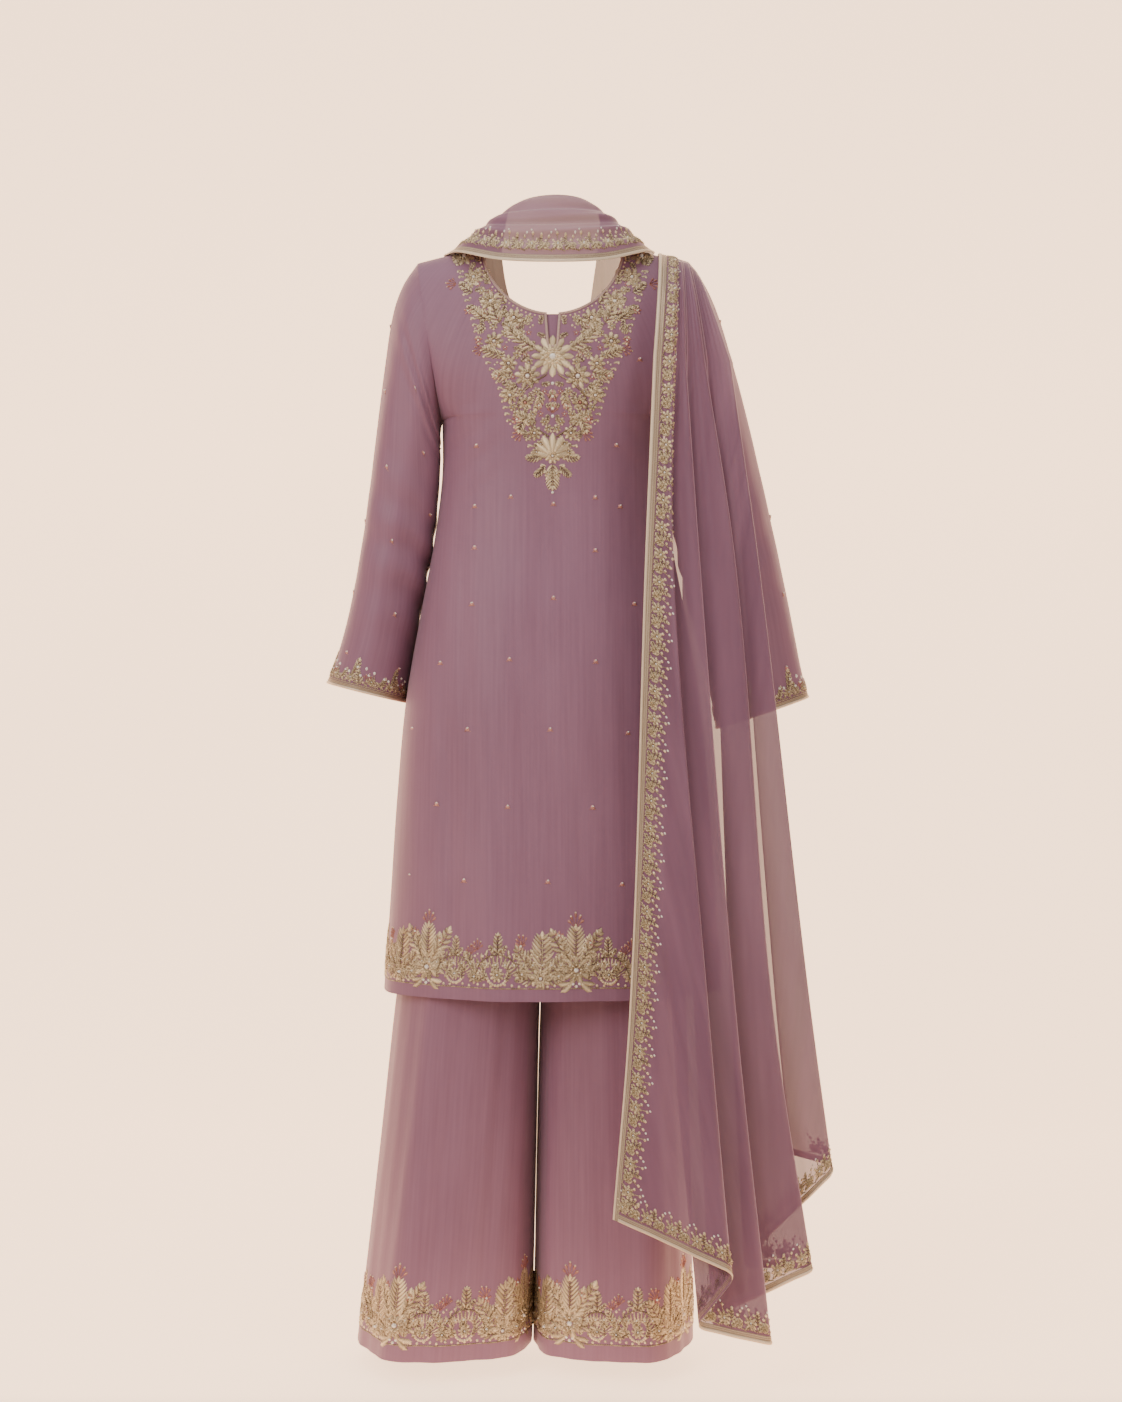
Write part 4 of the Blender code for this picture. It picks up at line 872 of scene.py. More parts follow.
# Embroidery
# Worked by hand in gold zari, copper thread and pearls: leaves with stitched veins, flowers, scrolls, arches and
# bead tips, of this model's own layout. Each stitch group is a small raised shape that lies on the cloth.
LEAF, PETAL, STEM, BEAD = 0, 1, 2, 3
GOLD, COPPER, PEARL = 0, 1, 2


def shape(u, v, heading, length, width, bend=0, kind=LEAF, height=0.0011, tone=0.5, metal=GOLD):
    """Raised shapes as rows: where each starts, its heading and bend in degrees, its length, width and height."""
    rows = np.broadcast_arrays(*(np.atleast_1d(np.asarray(a, float)) for a in (
        u, v, heading, length, width, bend, kind, height, tone, metal)))
    return np.stack(rows, -1)


def steps_round(count, turn=0.0, full=360.0):
    """Even headings in degrees round a circle or part of it."""
    return turn + full * np.arange(count) / count


def flower(u, v, radius, petals=8, turn=90, metal=GOLD, heart=PEARL, tone=0.6):
    """A round flower: an outer and an inner ring of petals, a ring of beads and a heart."""
    outer, inner = steps_round(petals, turn), steps_round(petals, turn + 180 / petals)
    beads = steps_round(petals, turn)
    rings = []
    for angles, start, length, width, height, kind, offset in (
        (outer, 0.26, 0.74, 4.1, 0.0012, PETAL, 0.0),
        (inner, 0.14, 0.48, 3.0, 0.0019, PETAL, 0.2),
    ):
        a = np.radians(angles)
        rings.append(shape(
            u + start * radius * np.cos(a), v + start * radius * np.sin(a), angles,
            length * radius, width * radius / petals, 0, kind, height, tone - offset, metal,
        ))
    a = np.radians(beads)
    size = 0.17 * radius
    rings.append(bead(u + 0.33 * radius * np.cos(a), v + 0.33 * radius * np.sin(a), size, metal, 0.0026))
    rings.append(bead(u, v, 0.34 * radius, heart, 0.0034))
    return np.concatenate(rings)


def vein_leaf(u, v, heading, length, width, bend=0, pairs=6, metal=GOLD, tone=0.6):
    """A leaf of satin stitch: a midrib with slanting lobes on both sides that shorten to its tip."""
    turn = math.radians(bend) + 1e-4
    start = math.radians(heading) - turn / 2
    t = np.linspace(0.10, 0.86, pairs)
    way = start + turn * t
    mid_u = u + length * (np.sin(way) - math.sin(start)) / turn
    mid_v = v + length * (math.cos(start) - np.cos(way)) / turn
    reach = width * 0.78 * np.sin(math.pi * (0.12 + 0.84 * t) ** 0.85) ** 0.7
    thick = length / pairs * 0.80
    rows = [shape(u, v, heading, length, max(0.0009, width * 0.09), bend, STEM, 0.0017, 0.25, metal)]
    for sign in (-1, 1):
        aim = np.degrees(way) + sign * 42
        rows.append(shape(mid_u, mid_v, aim, reach, thick, -sign * 14, LEAF, 0.0013, tone, metal))
    end = math.degrees(start + turn * 0.9)
    tip = (length * 0.22, thick * 1.2)
    rows.append(shape(mid_u[-1], mid_v[-1], end, *tip, 0, LEAF, 0.0013, tone + 0.2, metal))
    return np.concatenate(rows)


def bead(u, v, size, metal=PEARL, height=None):
    """Round beads centred on u and v, as high as they are given or else nearly half their size."""
    size = np.asarray(size, float)
    tall = size * 0.45 if height is None else height
    return shape(np.asarray(u) - size / 2, v, 0, size, size, 0, BEAD, tall, 0.9, metal)


def moved(rows, u=0.0, v=0.0, turn=0.0, scale=1.0, mirror=False):
    """The same shapes mirrored, scaled, turned and moved."""
    made = rows.copy()
    if mirror:
        made[:, 0] *= -1
        made[:, 2] = 180 - made[:, 2]
        made[:, 5] *= -1
        made[:, 0] = np.where(made[:, 6] == BEAD, made[:, 0] - made[:, 3], made[:, 0])
        made[:, 2] = np.where(made[:, 6] == BEAD, 0, made[:, 2])
    a = math.radians(turn)
    x, y = made[:, 0] * scale, made[:, 1] * scale
    made[:, 0] = u + x * math.cos(a) - y * math.sin(a)
    made[:, 1] = v + x * math.sin(a) + y * math.cos(a)
    made[:, 2] += turn
    made[:, [3, 4]] *= scale
    return made


def both(rows):
    """The shapes and their mirror image."""
    return np.concatenate([rows, moved(rows, mirror=True)])


def copper_spray(u, v, size, heading=90):
    """A little spray of copper flowers: thin stems that fan out, each with a pale bead tip."""
    fan = heading + np.array([-48, -24, 0, 24, 48])
    a = np.radians(fan)
    reach = size * np.array([0.75, 0.95, 1.1, 0.9, 0.7])
    stems = shape(u, v, fan, reach, 0.0011, 0, STEM, 0.0010, 0.5, COPPER)
    petal_u, petal_v = u + reach * 0.62 * np.cos(a), v + reach * 0.62 * np.sin(a)
    petals = shape(petal_u, petal_v, fan, size * 0.42, size * 0.26, 0, PETAL, 0.0015, 0.6, COPPER)
    tips = bead(u + reach * np.cos(a), v + reach * np.sin(a), size * 0.17, GOLD)
    return np.concatenate([stems, petals, tips])


def copper_star(u, v, size):
    """A small open flower of five copper petals round a pale bead."""
    fan = steps_round(5, 90)
    return np.concatenate([
        shape(u, v, fan, size, size * 0.5, 0, PETAL, 0.0012, 0.6, COPPER),
        bead(u, v, size * 0.5, PEARL, 0.0022),
    ])


def arch(span, height, ribs=15):
    """A palmette arch: a bowed stem with ribs combed inwards, lobes outside, and a leafy crown on top."""
    t = np.linspace(0, 1, 15)
    a = math.pi * t
    x, y = -span / 2 * np.cos(a), height * np.sin(a)
    heading = np.degrees(np.arctan2(np.gradient(y), np.gradient(x)))
    hop = np.hypot(np.diff(x), np.diff(y))
    mid = np.degrees(np.arctan2(np.diff(y), np.diff(x)))
    stem = shape(x[:-1], y[:-1], mid, hop * 1.25, 0.0022, 0, STEM, 0.0020, 0.15)
    r = np.linspace(0.06, 0.94, ribs)
    rx, ry = -span / 2 * np.cos(math.pi * r), height * np.sin(math.pi * r)
    aim = np.degrees(np.arctan2(-ry + height * 0.12, -rx * 0.55))
    rib = height * (0.30 + 0.16 * np.sin(math.pi * r))
    comb = shape(rx, ry, aim, rib, span * 0.058, 0, LEAF, 0.0012, 0.7)
    o = np.linspace(0.10, 0.90, 11)
    ox, oy = -span / 2 * np.cos(math.pi * o), height * np.sin(math.pi * o)
    away = np.degrees(np.arctan2(oy + height * 0.3, ox))
    lean = np.where(ox < 0, -26, 26)
    lobes = shape(ox, oy, away + lean, span * 0.17, span * 0.075, lean, PETAL, 0.0014, 0.55)
    crown = [vein_leaf(0, height * 1.02, 90, height * 0.85, height * 0.42, 0, 5)]
    for side in (-1, 1):
        crown.append(vein_leaf(0, height * 1.02, 90 - side * 48, height * 0.5, height * 0.26, side * 18, 4))
    low = flower(0, height * 0.16, span * 0.17, 9, 90, GOLD, PEARL, 0.75)
    tips, reach = np.radians(steps_round(9, 200, 140)), span * 0.22
    fringe = bead(reach * np.cos(tips), height * 0.16 + reach * np.sin(tips), 0.0042, GOLD)
    return np.concatenate([stem, comb, lobes, *crown, low, fringe])


def bud(size):
    """A tall bud between two side leaves, with a round base of petals and a spray on top."""
    rows = [
        vein_leaf(0, 0.30 * size, 90, 0.58 * size, 0.30 * size, 0, 8, GOLD, 0.85),
        vein_leaf(-0.07 * size, 0.30 * size, 108, 0.46 * size, 0.17 * size, -26, 6, GOLD, 0.7),
        vein_leaf(0.07 * size, 0.30 * size, 72, 0.46 * size, 0.17 * size, 26, 6, GOLD, 0.7),
        flower(0, 0.22 * size, 0.24 * size, 9, 90, GOLD, PEARL, 0.6),
        copper_spray(0, 0.86 * size, 0.20 * size),
    ]
    for side in (-1, 1):
        rows.append(vein_leaf(side * 0.06 * size, 0.34 * size, 90 - side * 34, 0.58 * size, 0.22 * size, side * 26))
        rows.append(vein_leaf(side * 0.10 * size, 0.18 * size, 90 - side * 74, 0.34 * size, 0.17 * size, side * 30, 4))
        foot = [90 - side * 130, 90 - side * 100]
        rows.append(shape(
            side * 0.05 * size, 0.06 * size, foot, 0.26 * size, 0.09 * size, side * 40, PETAL, 0.0014, 0.7,
        ))
    rows.append(bead([-0.05 * size, 0.05 * size, 0], [0.02 * size, 0.02 * size, -0.02 * size], 0.0044, PEARL))
    return np.concatenate(rows)


def leaf_spray(size):
    """A spray of big veined leaves over a low flower, leaning to one side."""
    rows = [
        vein_leaf(0, 0.12 * size, 88, 0.82 * size, 0.44 * size, 10, 8, GOLD, 0.65),
        vein_leaf(-0.02 * size, 0.12 * size, 128, 0.74 * size, 0.30 * size, -24, 7, GOLD, 0.55),
        vein_leaf(0.04 * size, 0.14 * size, 44, 0.60 * size, 0.28 * size, 26, 6, GOLD, 0.6),
        vein_leaf(0.02 * size, 0.06 * size, 8, 0.46 * size, 0.20 * size, 26, 5, GOLD, 0.5),
        vein_leaf(-0.02 * size, 0.06 * size, 172, 0.44 * size, 0.20 * size, -26, 5, GOLD, 0.5),
        flower(0.0, 0.10 * size, 0.21 * size, 9, 90, GOLD, PEARL, 0.7),
        copper_spray(-0.34 * size, 0.72 * size, 0.20 * size, 116),
    ]
    return np.concatenate(rows)


def lifted(surface, u, v, lift):
    """Points that stand a lift above a surface, at u along it and v up it in metres."""
    h = 0.0012
    here = surface(u, v)
    normal = unit(np.cross(surface(u + h, v) - here, surface(u, v + h) - here))
    return here + normal * lift[..., None]


def stitched(name, rows, surface, finishes, steps=5, sides=3):
    """One mesh of all the raised shapes of an area. Across each shape lie its sides, along it its steps; the middle
    stands up by its height and the rim dips just under the cloth's face."""
    t = np.linspace(0, 1, steps)[None, :, None]
    s = np.linspace(-1, 1, sides)[None, None, :]
    u, v, heading, length, width, bend, kind, height, tone, metal = (rows[:, i, None, None] for i in range(10))
    turn = np.radians(bend) + 1e-4
    start = np.radians(heading) - turn / 2
    way = start + turn * t
    leaf_form = np.sin(math.pi * t**0.8) ** 0.8
    petal_form = np.sqrt(np.sin(math.pi * t**1.5).clip(0, 1))
    stem_form = np.clip(np.minimum(9 * t, 9 * (1 - t)), 0.05, 1) ** 0.5
    bead_form = np.sqrt(np.clip(1 - (2 * t - 1) ** 2, 0, 1))
    form = np.select([kind == LEAF, kind == PETAL, kind == STEM], [leaf_form, petal_form, stem_form], bead_form)
    half = width / 2 * form * s
    at_u = u + length * (np.sin(way) - np.sin(start)) / turn - np.sin(way) * half
    at_v = v + length * (np.cos(start) - np.cos(way)) / turn + np.cos(way) * half
    dome = height * (1 - s**2) * np.clip(form * 1.3, 0, 1) - 0.0001
    points = lifted(surface, at_u, at_v, dome)
    count = len(rows)
    i, j, k = np.meshgrid(np.arange(count), np.arange(steps - 1), np.arange(sides - 1), indexing="ij")
    corners = ((0, 0), (1, 0), (1, 1), (0, 1))
    faces = np.stack([(i * steps + j + a) * sides + k + b for a, b in corners], -1).reshape(-1, 4)
    flat = np.stack(np.broadcast_arrays(length * t + u, half + v), -1).reshape(-1, 2)
    mesh = bpy.data.meshes.new(name)
    mesh.from_pydata(points.reshape(-1, 3).tolist(), [], faces.tolist())
    mesh.uv_layers.new(name="flat").data.foreach_set("uv", flat[faces.ravel()].ravel())
    vary = np.sin(u * 3171 + v * 2113 + heading) * 0.20
    # Painted shade: each shape's tone drops towards its rim, most on a bead, and on all but beads towards its start
    # too; on leaves and petals the dark rim also stands for an outline cord.
    painted_shade = np.where(kind == BEAD, 0.45, 0.75) * s**2 + np.where(kind == BEAD, 0, 0.22) * (1 - t)
    tones = np.clip(np.broadcast_to(tone + 0.12 + vary - painted_shade, points.shape[:3]), 0, 1)
    mesh.attributes.new("tone", "FLOAT", "POINT").data.foreach_set("value", tones.ravel())
    for finish in finishes:
        mesh.materials.append(finish)
    mesh.polygons.foreach_set("material_index", np.repeat(rows[:, 9].astype(int), (steps - 1) * (sides - 1)))
    mesh.shade_smooth()
    thing = bpy.data.objects.new(name, mesh)
    bpy.context.scene.collection.objects.link(thing)
    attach(thing, "root")
    return thing


def thread(name, deep, pale, metal, roughness):
    """Embroidery thread or bead: its tone is each shape's own, with painted shade towards its rim, broken up
    by fine stitches across the shape.
    """
    made = bpy.data.materials.new(name)
    made.use_nodes = True
    nodes, links = made.node_tree.nodes, made.node_tree.links
    shader = nodes["Principled BSDF"]
    place = nodes.new("ShaderNodeUVMap")
    place.uv_map = "flat"
    stitch = nodes.new("ShaderNodeTexWave")
    stitch.bands_direction = "DIAGONAL"
    stitch.inputs["Scale"].default_value = 260
    stitch.inputs["Distortion"].default_value = 2
    links.new(place.outputs["UV"], stitch.inputs["Vector"])
    tone = nodes.new("ShaderNodeAttribute")
    tone.attribute_name = "tone"
    blend = nodes.new("ShaderNodeMix")
    blend.data_type = "FLOAT"
    blend.inputs["Factor"].default_value = 0.34
    links.new(tone.outputs["Fac"], blend.inputs[2])
    links.new(stitch.outputs["Fac"], blend.inputs[3])
    tint = nodes.new("ShaderNodeValToRGB")
    tint.color_ramp.elements[0].position = 0.12
    tint.color_ramp.elements[0].color = deep
    tint.color_ramp.elements[1].position = 0.85
    tint.color_ramp.elements[1].color = pale
    links.new(blend.outputs[0], tint.inputs["Fac"])
    links.new(tint.outputs["Color"], shader.inputs["Base Color"])
    bump = nodes.new("ShaderNodeBump")
    bump.inputs["Strength"].default_value = 0.6
    bump.inputs["Distance"].default_value = 0.0004
    links.new(stitch.outputs["Fac"], bump.inputs["Height"])
    links.new(bump.outputs["Normal"], shader.inputs["Normal"])
    shader.inputs["Metallic"].default_value = metal
    shader.inputs["Roughness"].default_value = roughness
    return made


threads = (
    thread("gold_thread", (0.090, 0.048, 0.026, 1), (0.95, 0.74, 0.46, 1), 0.50, 0.38),
    thread("copper_thread", (0.22, 0.070, 0.060, 1), (0.66, 0.310, 0.250, 1), 0.30, 0.40),
    thread("pearl_bead", (0.50, 0.40, 0.32, 1), (1.0, 0.93, 0.84, 1), 0.05, 0.25),
)

# Yoke embroidery
# The back neckline's deep V of flowers, leaves and scrolls, the same on both sides of the slit. It is worked in the
# plane of x and z and laid on the back panel.


def yoke(x, z):
    """The back panel at x and z, above the folds."""
    return np.stack([x, -(soft_y(x, z, -1) + SEAM / 2), z], -1)


def neck_point(turn, away):
    """A point outside the back neckline: the turn in degrees from its lowest point to the shoulder."""
    a = np.radians(turn)
    return (NECK_X + away) * np.sin(a), -(abs(BACK_NECK_Z) + away) * np.cos(a)


side_rows = []
for turn, away, radius, petals in (
    (27, 0.020, 0.0135, 8), (46, 0.021, 0.0150, 8), (66, 0.022, 0.0140, 8), (83, 0.027, 0.0165, 9),
):
    u, v = neck_point(turn, away)
    side_rows.append(flower(u, v, radius, petals, turn))
for turn, away, lean, length in (
    (17, 0.012, -40, 0.022), (36, 0.010, 30, 0.024), (37, 0.030, -20, 0.026), (56, 0.010, 30, 0.024),
    (57, 0.032, -18, 0.024), (75, 0.010, 26, 0.022), (76, 0.034, -10, 0.022), (88, 0.012, 10, 0.018),
):
    u, v = neck_point(turn, away)
    side_rows.append(vein_leaf(u, v, turn - 90 + 90 + lean, length, length * 0.46, 30, 5))
for turn in np.arange(10, 90, 3.6):
    u, v = neck_point(turn, 0.0065)
    side_rows.append(bead(u, v, 0.0030, GOLD))
for u, v, heading, length, width, bend in (
    (0.020, -0.150, 40, 0.036, 0.017, 60), (0.040, -0.142, 62, 0.040, 0.018, 60), (0.068, -0.118, 74, 0.038, 0.017, 40),
    (0.050, -0.180, -8, 0.030, 0.016, 40), (0.044, -0.200, -30, 0.026, 0.013, -30), (0.030, -0.236, -60, 0.030, 0.014, -40),
    (0.020, -0.246, 24, 0.030, 0.014, 40), (0.064, -0.158, 20, 0.030, 0.015, 40), (0.086, -0.112, 44, 0.028, 0.014, 20),
    (0.016, -0.205, -74, 0.030, 0.012, 46), (0.012, -0.290, -8, 0.024, 0.012, 50), (0.010, -0.304, -46, 0.020, 0.011, 30),
):
    side_rows.append(vein_leaf(u, v, heading, length, width, bend, 6))
side_rows += [
    flower(0.033, -0.187, 0.0175, 9, 90),
    flower(0.056, -0.212, 0.0120, 8, 90),
    flower(0.036, -0.222, 0.0110, 8, 90, GOLD, COPPER),
    flower(0.058, -0.170, 0.0120, 8, 90),
    flower(0.077, -0.140, 0.0130, 8, 90),
    flower(0.024, -0.262, 0.0105, 8, 90),
    copper_star(0.047, -0.244, 0.0070),
    copper_star(0.074, -0.186, 0.0062),
    copper_star(0.098, -0.138, 0.0060),
    copper_star(0.018, -0.226, 0.0060),
    copper_star(0.112, -0.098, 0.0060),
    copper_spray(0.040, -0.262, 0.0130, -20),
    copper_spray(0.092, -0.150, 0.0120, -10),
    copper_spray(0.128, -0.060, 0.0130, 10),
]
stem_turns = np.linspace(0, 1, 9)
stem_u = 0.006 + 0.040 * np.sin(math.pi * stem_turns) ** 0.9
stem_v = -0.184 - 0.082 * stem_turns
hop_u, hop_v = np.diff(stem_u), np.diff(stem_v)
hop_way, hop_length = np.degrees(np.arctan2(hop_v, hop_u)), np.hypot(hop_u, hop_v) * 1.2
side_rows.append(shape(stem_u[:-1], stem_v[:-1], hop_way, hop_length, 0.0024, 0, STEM, 0.0018, 0.3))
lotus = shape(
    0, -0.292, 90 + np.array([-78, -52, -26, 26, 52, 78, 0]), [0.024, 0.028, 0.030, 0.030, 0.028, 0.024, 0.031],
    0.0105, [26, 18, 8, -8, -18, -26, 0], PETAL, [0.0014, 0.0017, 0.0020, 0.0020, 0.0017, 0.0014, 0.0027], 0.75,
)
centre_rows = [
    flower(0, -0.161, 0.0285, 12, 90, GOLD, PEARL, 0.8),
    flower(0, -0.161, 0.0170, 9, 70, GOLD, PEARL, 0.95),
    copper_star(0, -0.214, 0.0085),
    bead([0, 0, 0], [-0.197, -0.230, -0.240], 0.0046, PEARL),
    copper_spray(0, -0.236, 0.0110, 90),
    lotus,
    flower(0, -0.292, 0.0110, 9, 90, GOLD, PEARL, 0.8),
    vein_leaf(0, -0.300, 270, 0.036, 0.019, 0, 7, GOLD, 0.7),
    bead(0, -0.340, 0.0040, PEARL),
]
yoke_rows = np.concatenate([both(np.concatenate(side_rows)), *centre_rows])
yoke_work = stitched("yoke_embroidery", yoke_rows, yoke, threads, 6, 5)
V_EDGE = (
    (-0.334, 0.001), (-0.298, 0.017), (-0.285, 0.029), (-0.268, 0.034), (-0.245, 0.059), (-0.219, 0.0655),
    (-0.193, 0.073), (-0.167, 0.087), (-0.140, 0.098), (-0.114, 0.105), (-0.075, 0.117), (-0.038, 0.126),
)
BIG_FLOWERS = (
    (0.000, -0.161, 0.0300), (0.033, -0.187, 0.0175), (0.056, -0.212, 0.0125), (0.036, -0.222, 0.0115),
    (0.058, -0.170, 0.0125), (0.077, -0.140, 0.0135), (0.024, -0.262, 0.0110), (0.000, -0.292, 0.0180),
)
filler = []
for row in range(30):
    for step in range(12):
        u, v = 0.0052 + 0.0104 * step + 0.0052 * (row % 2), -0.041 - 0.0098 * row
        outside_neck = math.hypot(u * abs(BACK_NECK_Z) / NECK_X, v) > abs(BACK_NECK_Z) + 0.0105
        inside_edge = u < np.interp(v, [z for z, _ in V_EDGE], [x for _, x in V_EDGE]) - 0.004
        clear = all(math.hypot(u - x, v - z) > r for x, z, r in BIG_FLOWERS)
        beside_slit = v < -0.152 or u > 0.015
        if not (outside_neck and inside_edge and clear and beside_slit and v > -0.326):
            continue
        pick = (3 * row + 5 * step) % 7
        turn = (47 * row + 83 * step) % 360
        if pick in (0, 3):
            filler.append(moved(flower(0, 0, 0.0062, 6, 90, GOLD, PEARL, 0.7), u, v, turn % 60))
        elif pick in (1, 5):
            filler.append(vein_leaf(u, v, turn, 0.0135, 0.0085, 24, 4, GOLD, 0.65))
        elif pick == 2:
            filler.append(copper_star(u, v, 0.0044))
        elif pick == 4:
            filler.append(vein_leaf(u, v, turn + 60, 0.0120, 0.0075, -20, 4, GOLD, 0.5))
        else:
            filler.append(bead([u, u + 0.0035], [v, v - 0.0028], [0.0036, 0.0026], GOLD))
edge_z = np.arange(-0.322, -0.040, 0.0085)
edge_x = np.interp(edge_z, [z for z, _ in V_EDGE], [x for _, x in V_EDGE])
filler.append(bead(edge_x + 0.0012, edge_z, 0.0034, GOLD))
filler.append(shape(edge_x - 0.006, edge_z, 18, 0.0090, 0.0034, 20, LEAF, 0.0010, 0.65))
yoke_filler = stitched("yoke_small_embroidery", both(np.concatenate(filler)), yoke, threads)

# Hem borders of kurta and palazzo
# Arches, leaf sprays and tall buds take turns round each hem above a plain turned edge, with copper flowers between.


def line_of(surface_row, count=400, low=0.0, high=1.0):
    """How far along a row of a surface each of its keys lies, in metres from the row's start: (keys, metres)."""
    keys = np.linspace(low, high, count)
    points = surface_row(keys)
    return keys, np.concatenate([[0], np.cumsum(np.linalg.norm(np.diff(points, axis=0), axis=-1))])


def border_of(unit_length, tall):
    """The shapes of one repeat of a hem border, from 0 to its length, standing on v = 0."""
    k = unit_length / 0.2035
    edge_beads = np.arange(0.006, 0.204, 0.0091)
    parts = [
        moved(arch(0.060 * k, 0.031 * tall), 0.032 * k, 0.010),
        moved(leaf_spray(0.068 * tall), 0.088 * k, 0.004),
        moved(bud(0.086 * tall), 0.134 * k, 0.002),
        moved(arch(0.052 * k, 0.028 * tall), 0.176 * k, 0.010),
        copper_star(0.062 * k, 0.052 * tall, 0.0075),
        copper_star(0.112 * k, 0.066 * tall, 0.0065),
        copper_star(0.153 * k, 0.056 * tall, 0.0070),
        copper_spray(0.0035 * k, 0.046 * tall, 0.0130),
        copper_spray(0.198 * k, 0.040 * tall, 0.0120),
        moved(flower(0, 0, 0.0105, 8), 0.064 * k, 0.016),
        moved(flower(0, 0, 0.0100, 8), 0.204 * k, 0.012),
        moved(flower(0, 0, 0.0095, 8), 0.111 * k, 0.014),
        vein_leaf(0.066 * k, 0.024, 62, 0.026, 0.012, -30, 5),
        vein_leaf(0.202 * k, 0.020, 118, 0.026, 0.012, 30, 5),
        vein_leaf(0.152 * k, 0.022, 78, 0.024, 0.011, 20, 5),
        bead(edge_beads * k, 0.0015 + 0.0012 * np.sin(edge_beads * 180), 0.0040, GOLD),
        shape(np.arange(0, 0.203, 0.0071) * k, -0.0022, 0, 0.0080, 0.0020, 0, STEM, 0.0012, 0.3),
    ]
    for row in range(4):
        for step in range(17):
            u, v = (0.006 + 0.012 * step + 0.006 * (row % 2)) * k, (0.007 + 0.0105 * row) * tall
            pick, turn = (3 * row + 5 * step) % 5, (47 * row + 83 * step) % 360
            if pick in (0, 3):
                parts.append(vein_leaf(u, v, 35 + turn % 110, 0.0150, 0.0085, 24, 4, GOLD, 0.6))
            elif pick == 1:
                parts.append(shape(u, v, steps_round(5, turn), 0.0048, 0.0036, 0, PETAL, 0.0009, 0.75))
                parts.append(bead([u], [v], 0.0026, PEARL, 0.0020))
            elif pick == 2 and row > 1:
                parts.append(copper_star(u, v, 0.0046))
            else:
                parts.append(bead([u, u + 0.004], [v, v + 0.003], [0.0038, 0.0028], GOLD))
    return np.concatenate(parts)


def back_low(angle):
    return kurta(angle, 0.0, -1)


def front_low(angle):
    return kurta(angle, 0.0, 1)


PLAIN_EDGE = 0.019
back_keys, back_line = line_of(back_low, 400, -90, 90)
front_keys, front_line = line_of(front_low, 400, -90, 90)


def back_border(u, v):
    """The back panel near its hem: u metres to the wearer's right of the left side seam, v above the hem."""
    return kurta(np.interp(u, back_line, back_keys), v / (UNDERARM_Z - HEM_Z), -1)


def front_border(u, v):
    """The front panel near its hem: u metres to the wearer's left of the right side seam."""
    return kurta(np.interp(front_line[-1] - u, front_line, front_keys), v / (UNDERARM_Z - HEM_Z), 1)


for name, surface, total in (
    ("kurta_back_border", back_border, back_line[-1]),
    ("kurta_front_border", front_border, front_line[-1]),
):
    repeat = total / 3
    one = border_of(repeat, 1.0)
    rows = np.concatenate([moved(one, repeat * n, PLAIN_EDGE) for n in range(3)])
    rows = rows[(rows[:, 0] > 0.004) & (rows[:, 0] < total - 0.004)]
    stitched(name, rows, surface, threads)
for hand, which in ((-1, "left"), (1, "right")):
    for side, face in ((-1, "back"), (1, "front")):

        def leg_low(share, hand=hand, side=side):
            return leg(share, LEG_HEM_Z, hand, side)

        leg_keys, leg_line = line_of(leg_low)
        total = leg_line[-1]
        forward = -hand * side > 0

        def leg_border(u, v, hand=hand, side=side, forward=forward, keys=leg_keys, line=leg_line):
            s = u if forward else line[-1] - u
            return leg(np.interp(s, line, keys), LEG_HEM_Z + v, hand, side)

        repeat = total / 2
        one = border_of(repeat, 1.08)
        rows = np.concatenate([moved(one, repeat * n, 0.024) for n in range(2)])
        rows = rows[(rows[:, 0] > 0.003) & (rows[:, 0] < total - 0.003)]
        stitched(f"palazzo_{which}_{face}_border", rows, leg_border, threads)

# Cuff embroidery
# Low scrolls with round bead tips rise from a band of stitches above each cuff's gold tape.


def cuff_unit():
    """One repeat of the cuff's scrolls, 62 mm long."""
    rows = [
        shape(np.arange(0, 0.062, 0.0062), 0.0098, 0, 0.0070, 0.0020, 0, STEM, 0.0014, 0.75),
        shape(np.arange(0, 0.062, 0.0040), 0.0112, np.tile([62, 118], 8), 0.0052, 0.0022, 0, LEAF, 0.0012, 0.6),
        shape(
            np.arange(0.001, 0.062, 0.0052), 0.0168, np.tile([40, 140, 90], 4), 0.0078, 0.0038, 20, LEAF, 0.0012, 0.65,
        ),
        shape(np.arange(0, 0.062, 0.0062), 0.0148, np.tile([28, -28], 5), 0.0070, 0.0020, 30, STEM, 0.0014, 0.6),
        flower(0.010, 0.0195, 0.0075, 8),
        flower(0.041, 0.0195, 0.0070, 8),
        vein_leaf(0.010, 0.022, 74, 0.024, 0.011, 24, 5),
        vein_leaf(0.026, 0.013, 110, 0.020, 0.009, -30, 5),
        vein_leaf(0.052, 0.013, 62, 0.020, 0.009, 36, 5),
        copper_spray(0.034, 0.019, 0.0110, 80),
        shape(
            [0.018, 0.031, 0.046, 0.058], 0.014, [98, 70, 104, 84], [0.020, 0.013, 0.018, 0.013],
            0.0014, 24, STEM, 0.0012, 0.4,
        ),
    ]
    tips = bead(
        [0.0165, 0.0355, 0.0425, 0.0590, 0.0235, 0.0040, 0.0300],
        [0.035, 0.028, 0.033, 0.028, 0.025, 0.027, 0.036], 0.0044, PEARL,
    )
    low = bead(np.arange(0.003, 0.062, 0.0089), 0.0158, 0.0034, GOLD)
    return np.concatenate([*rows, tips, low])


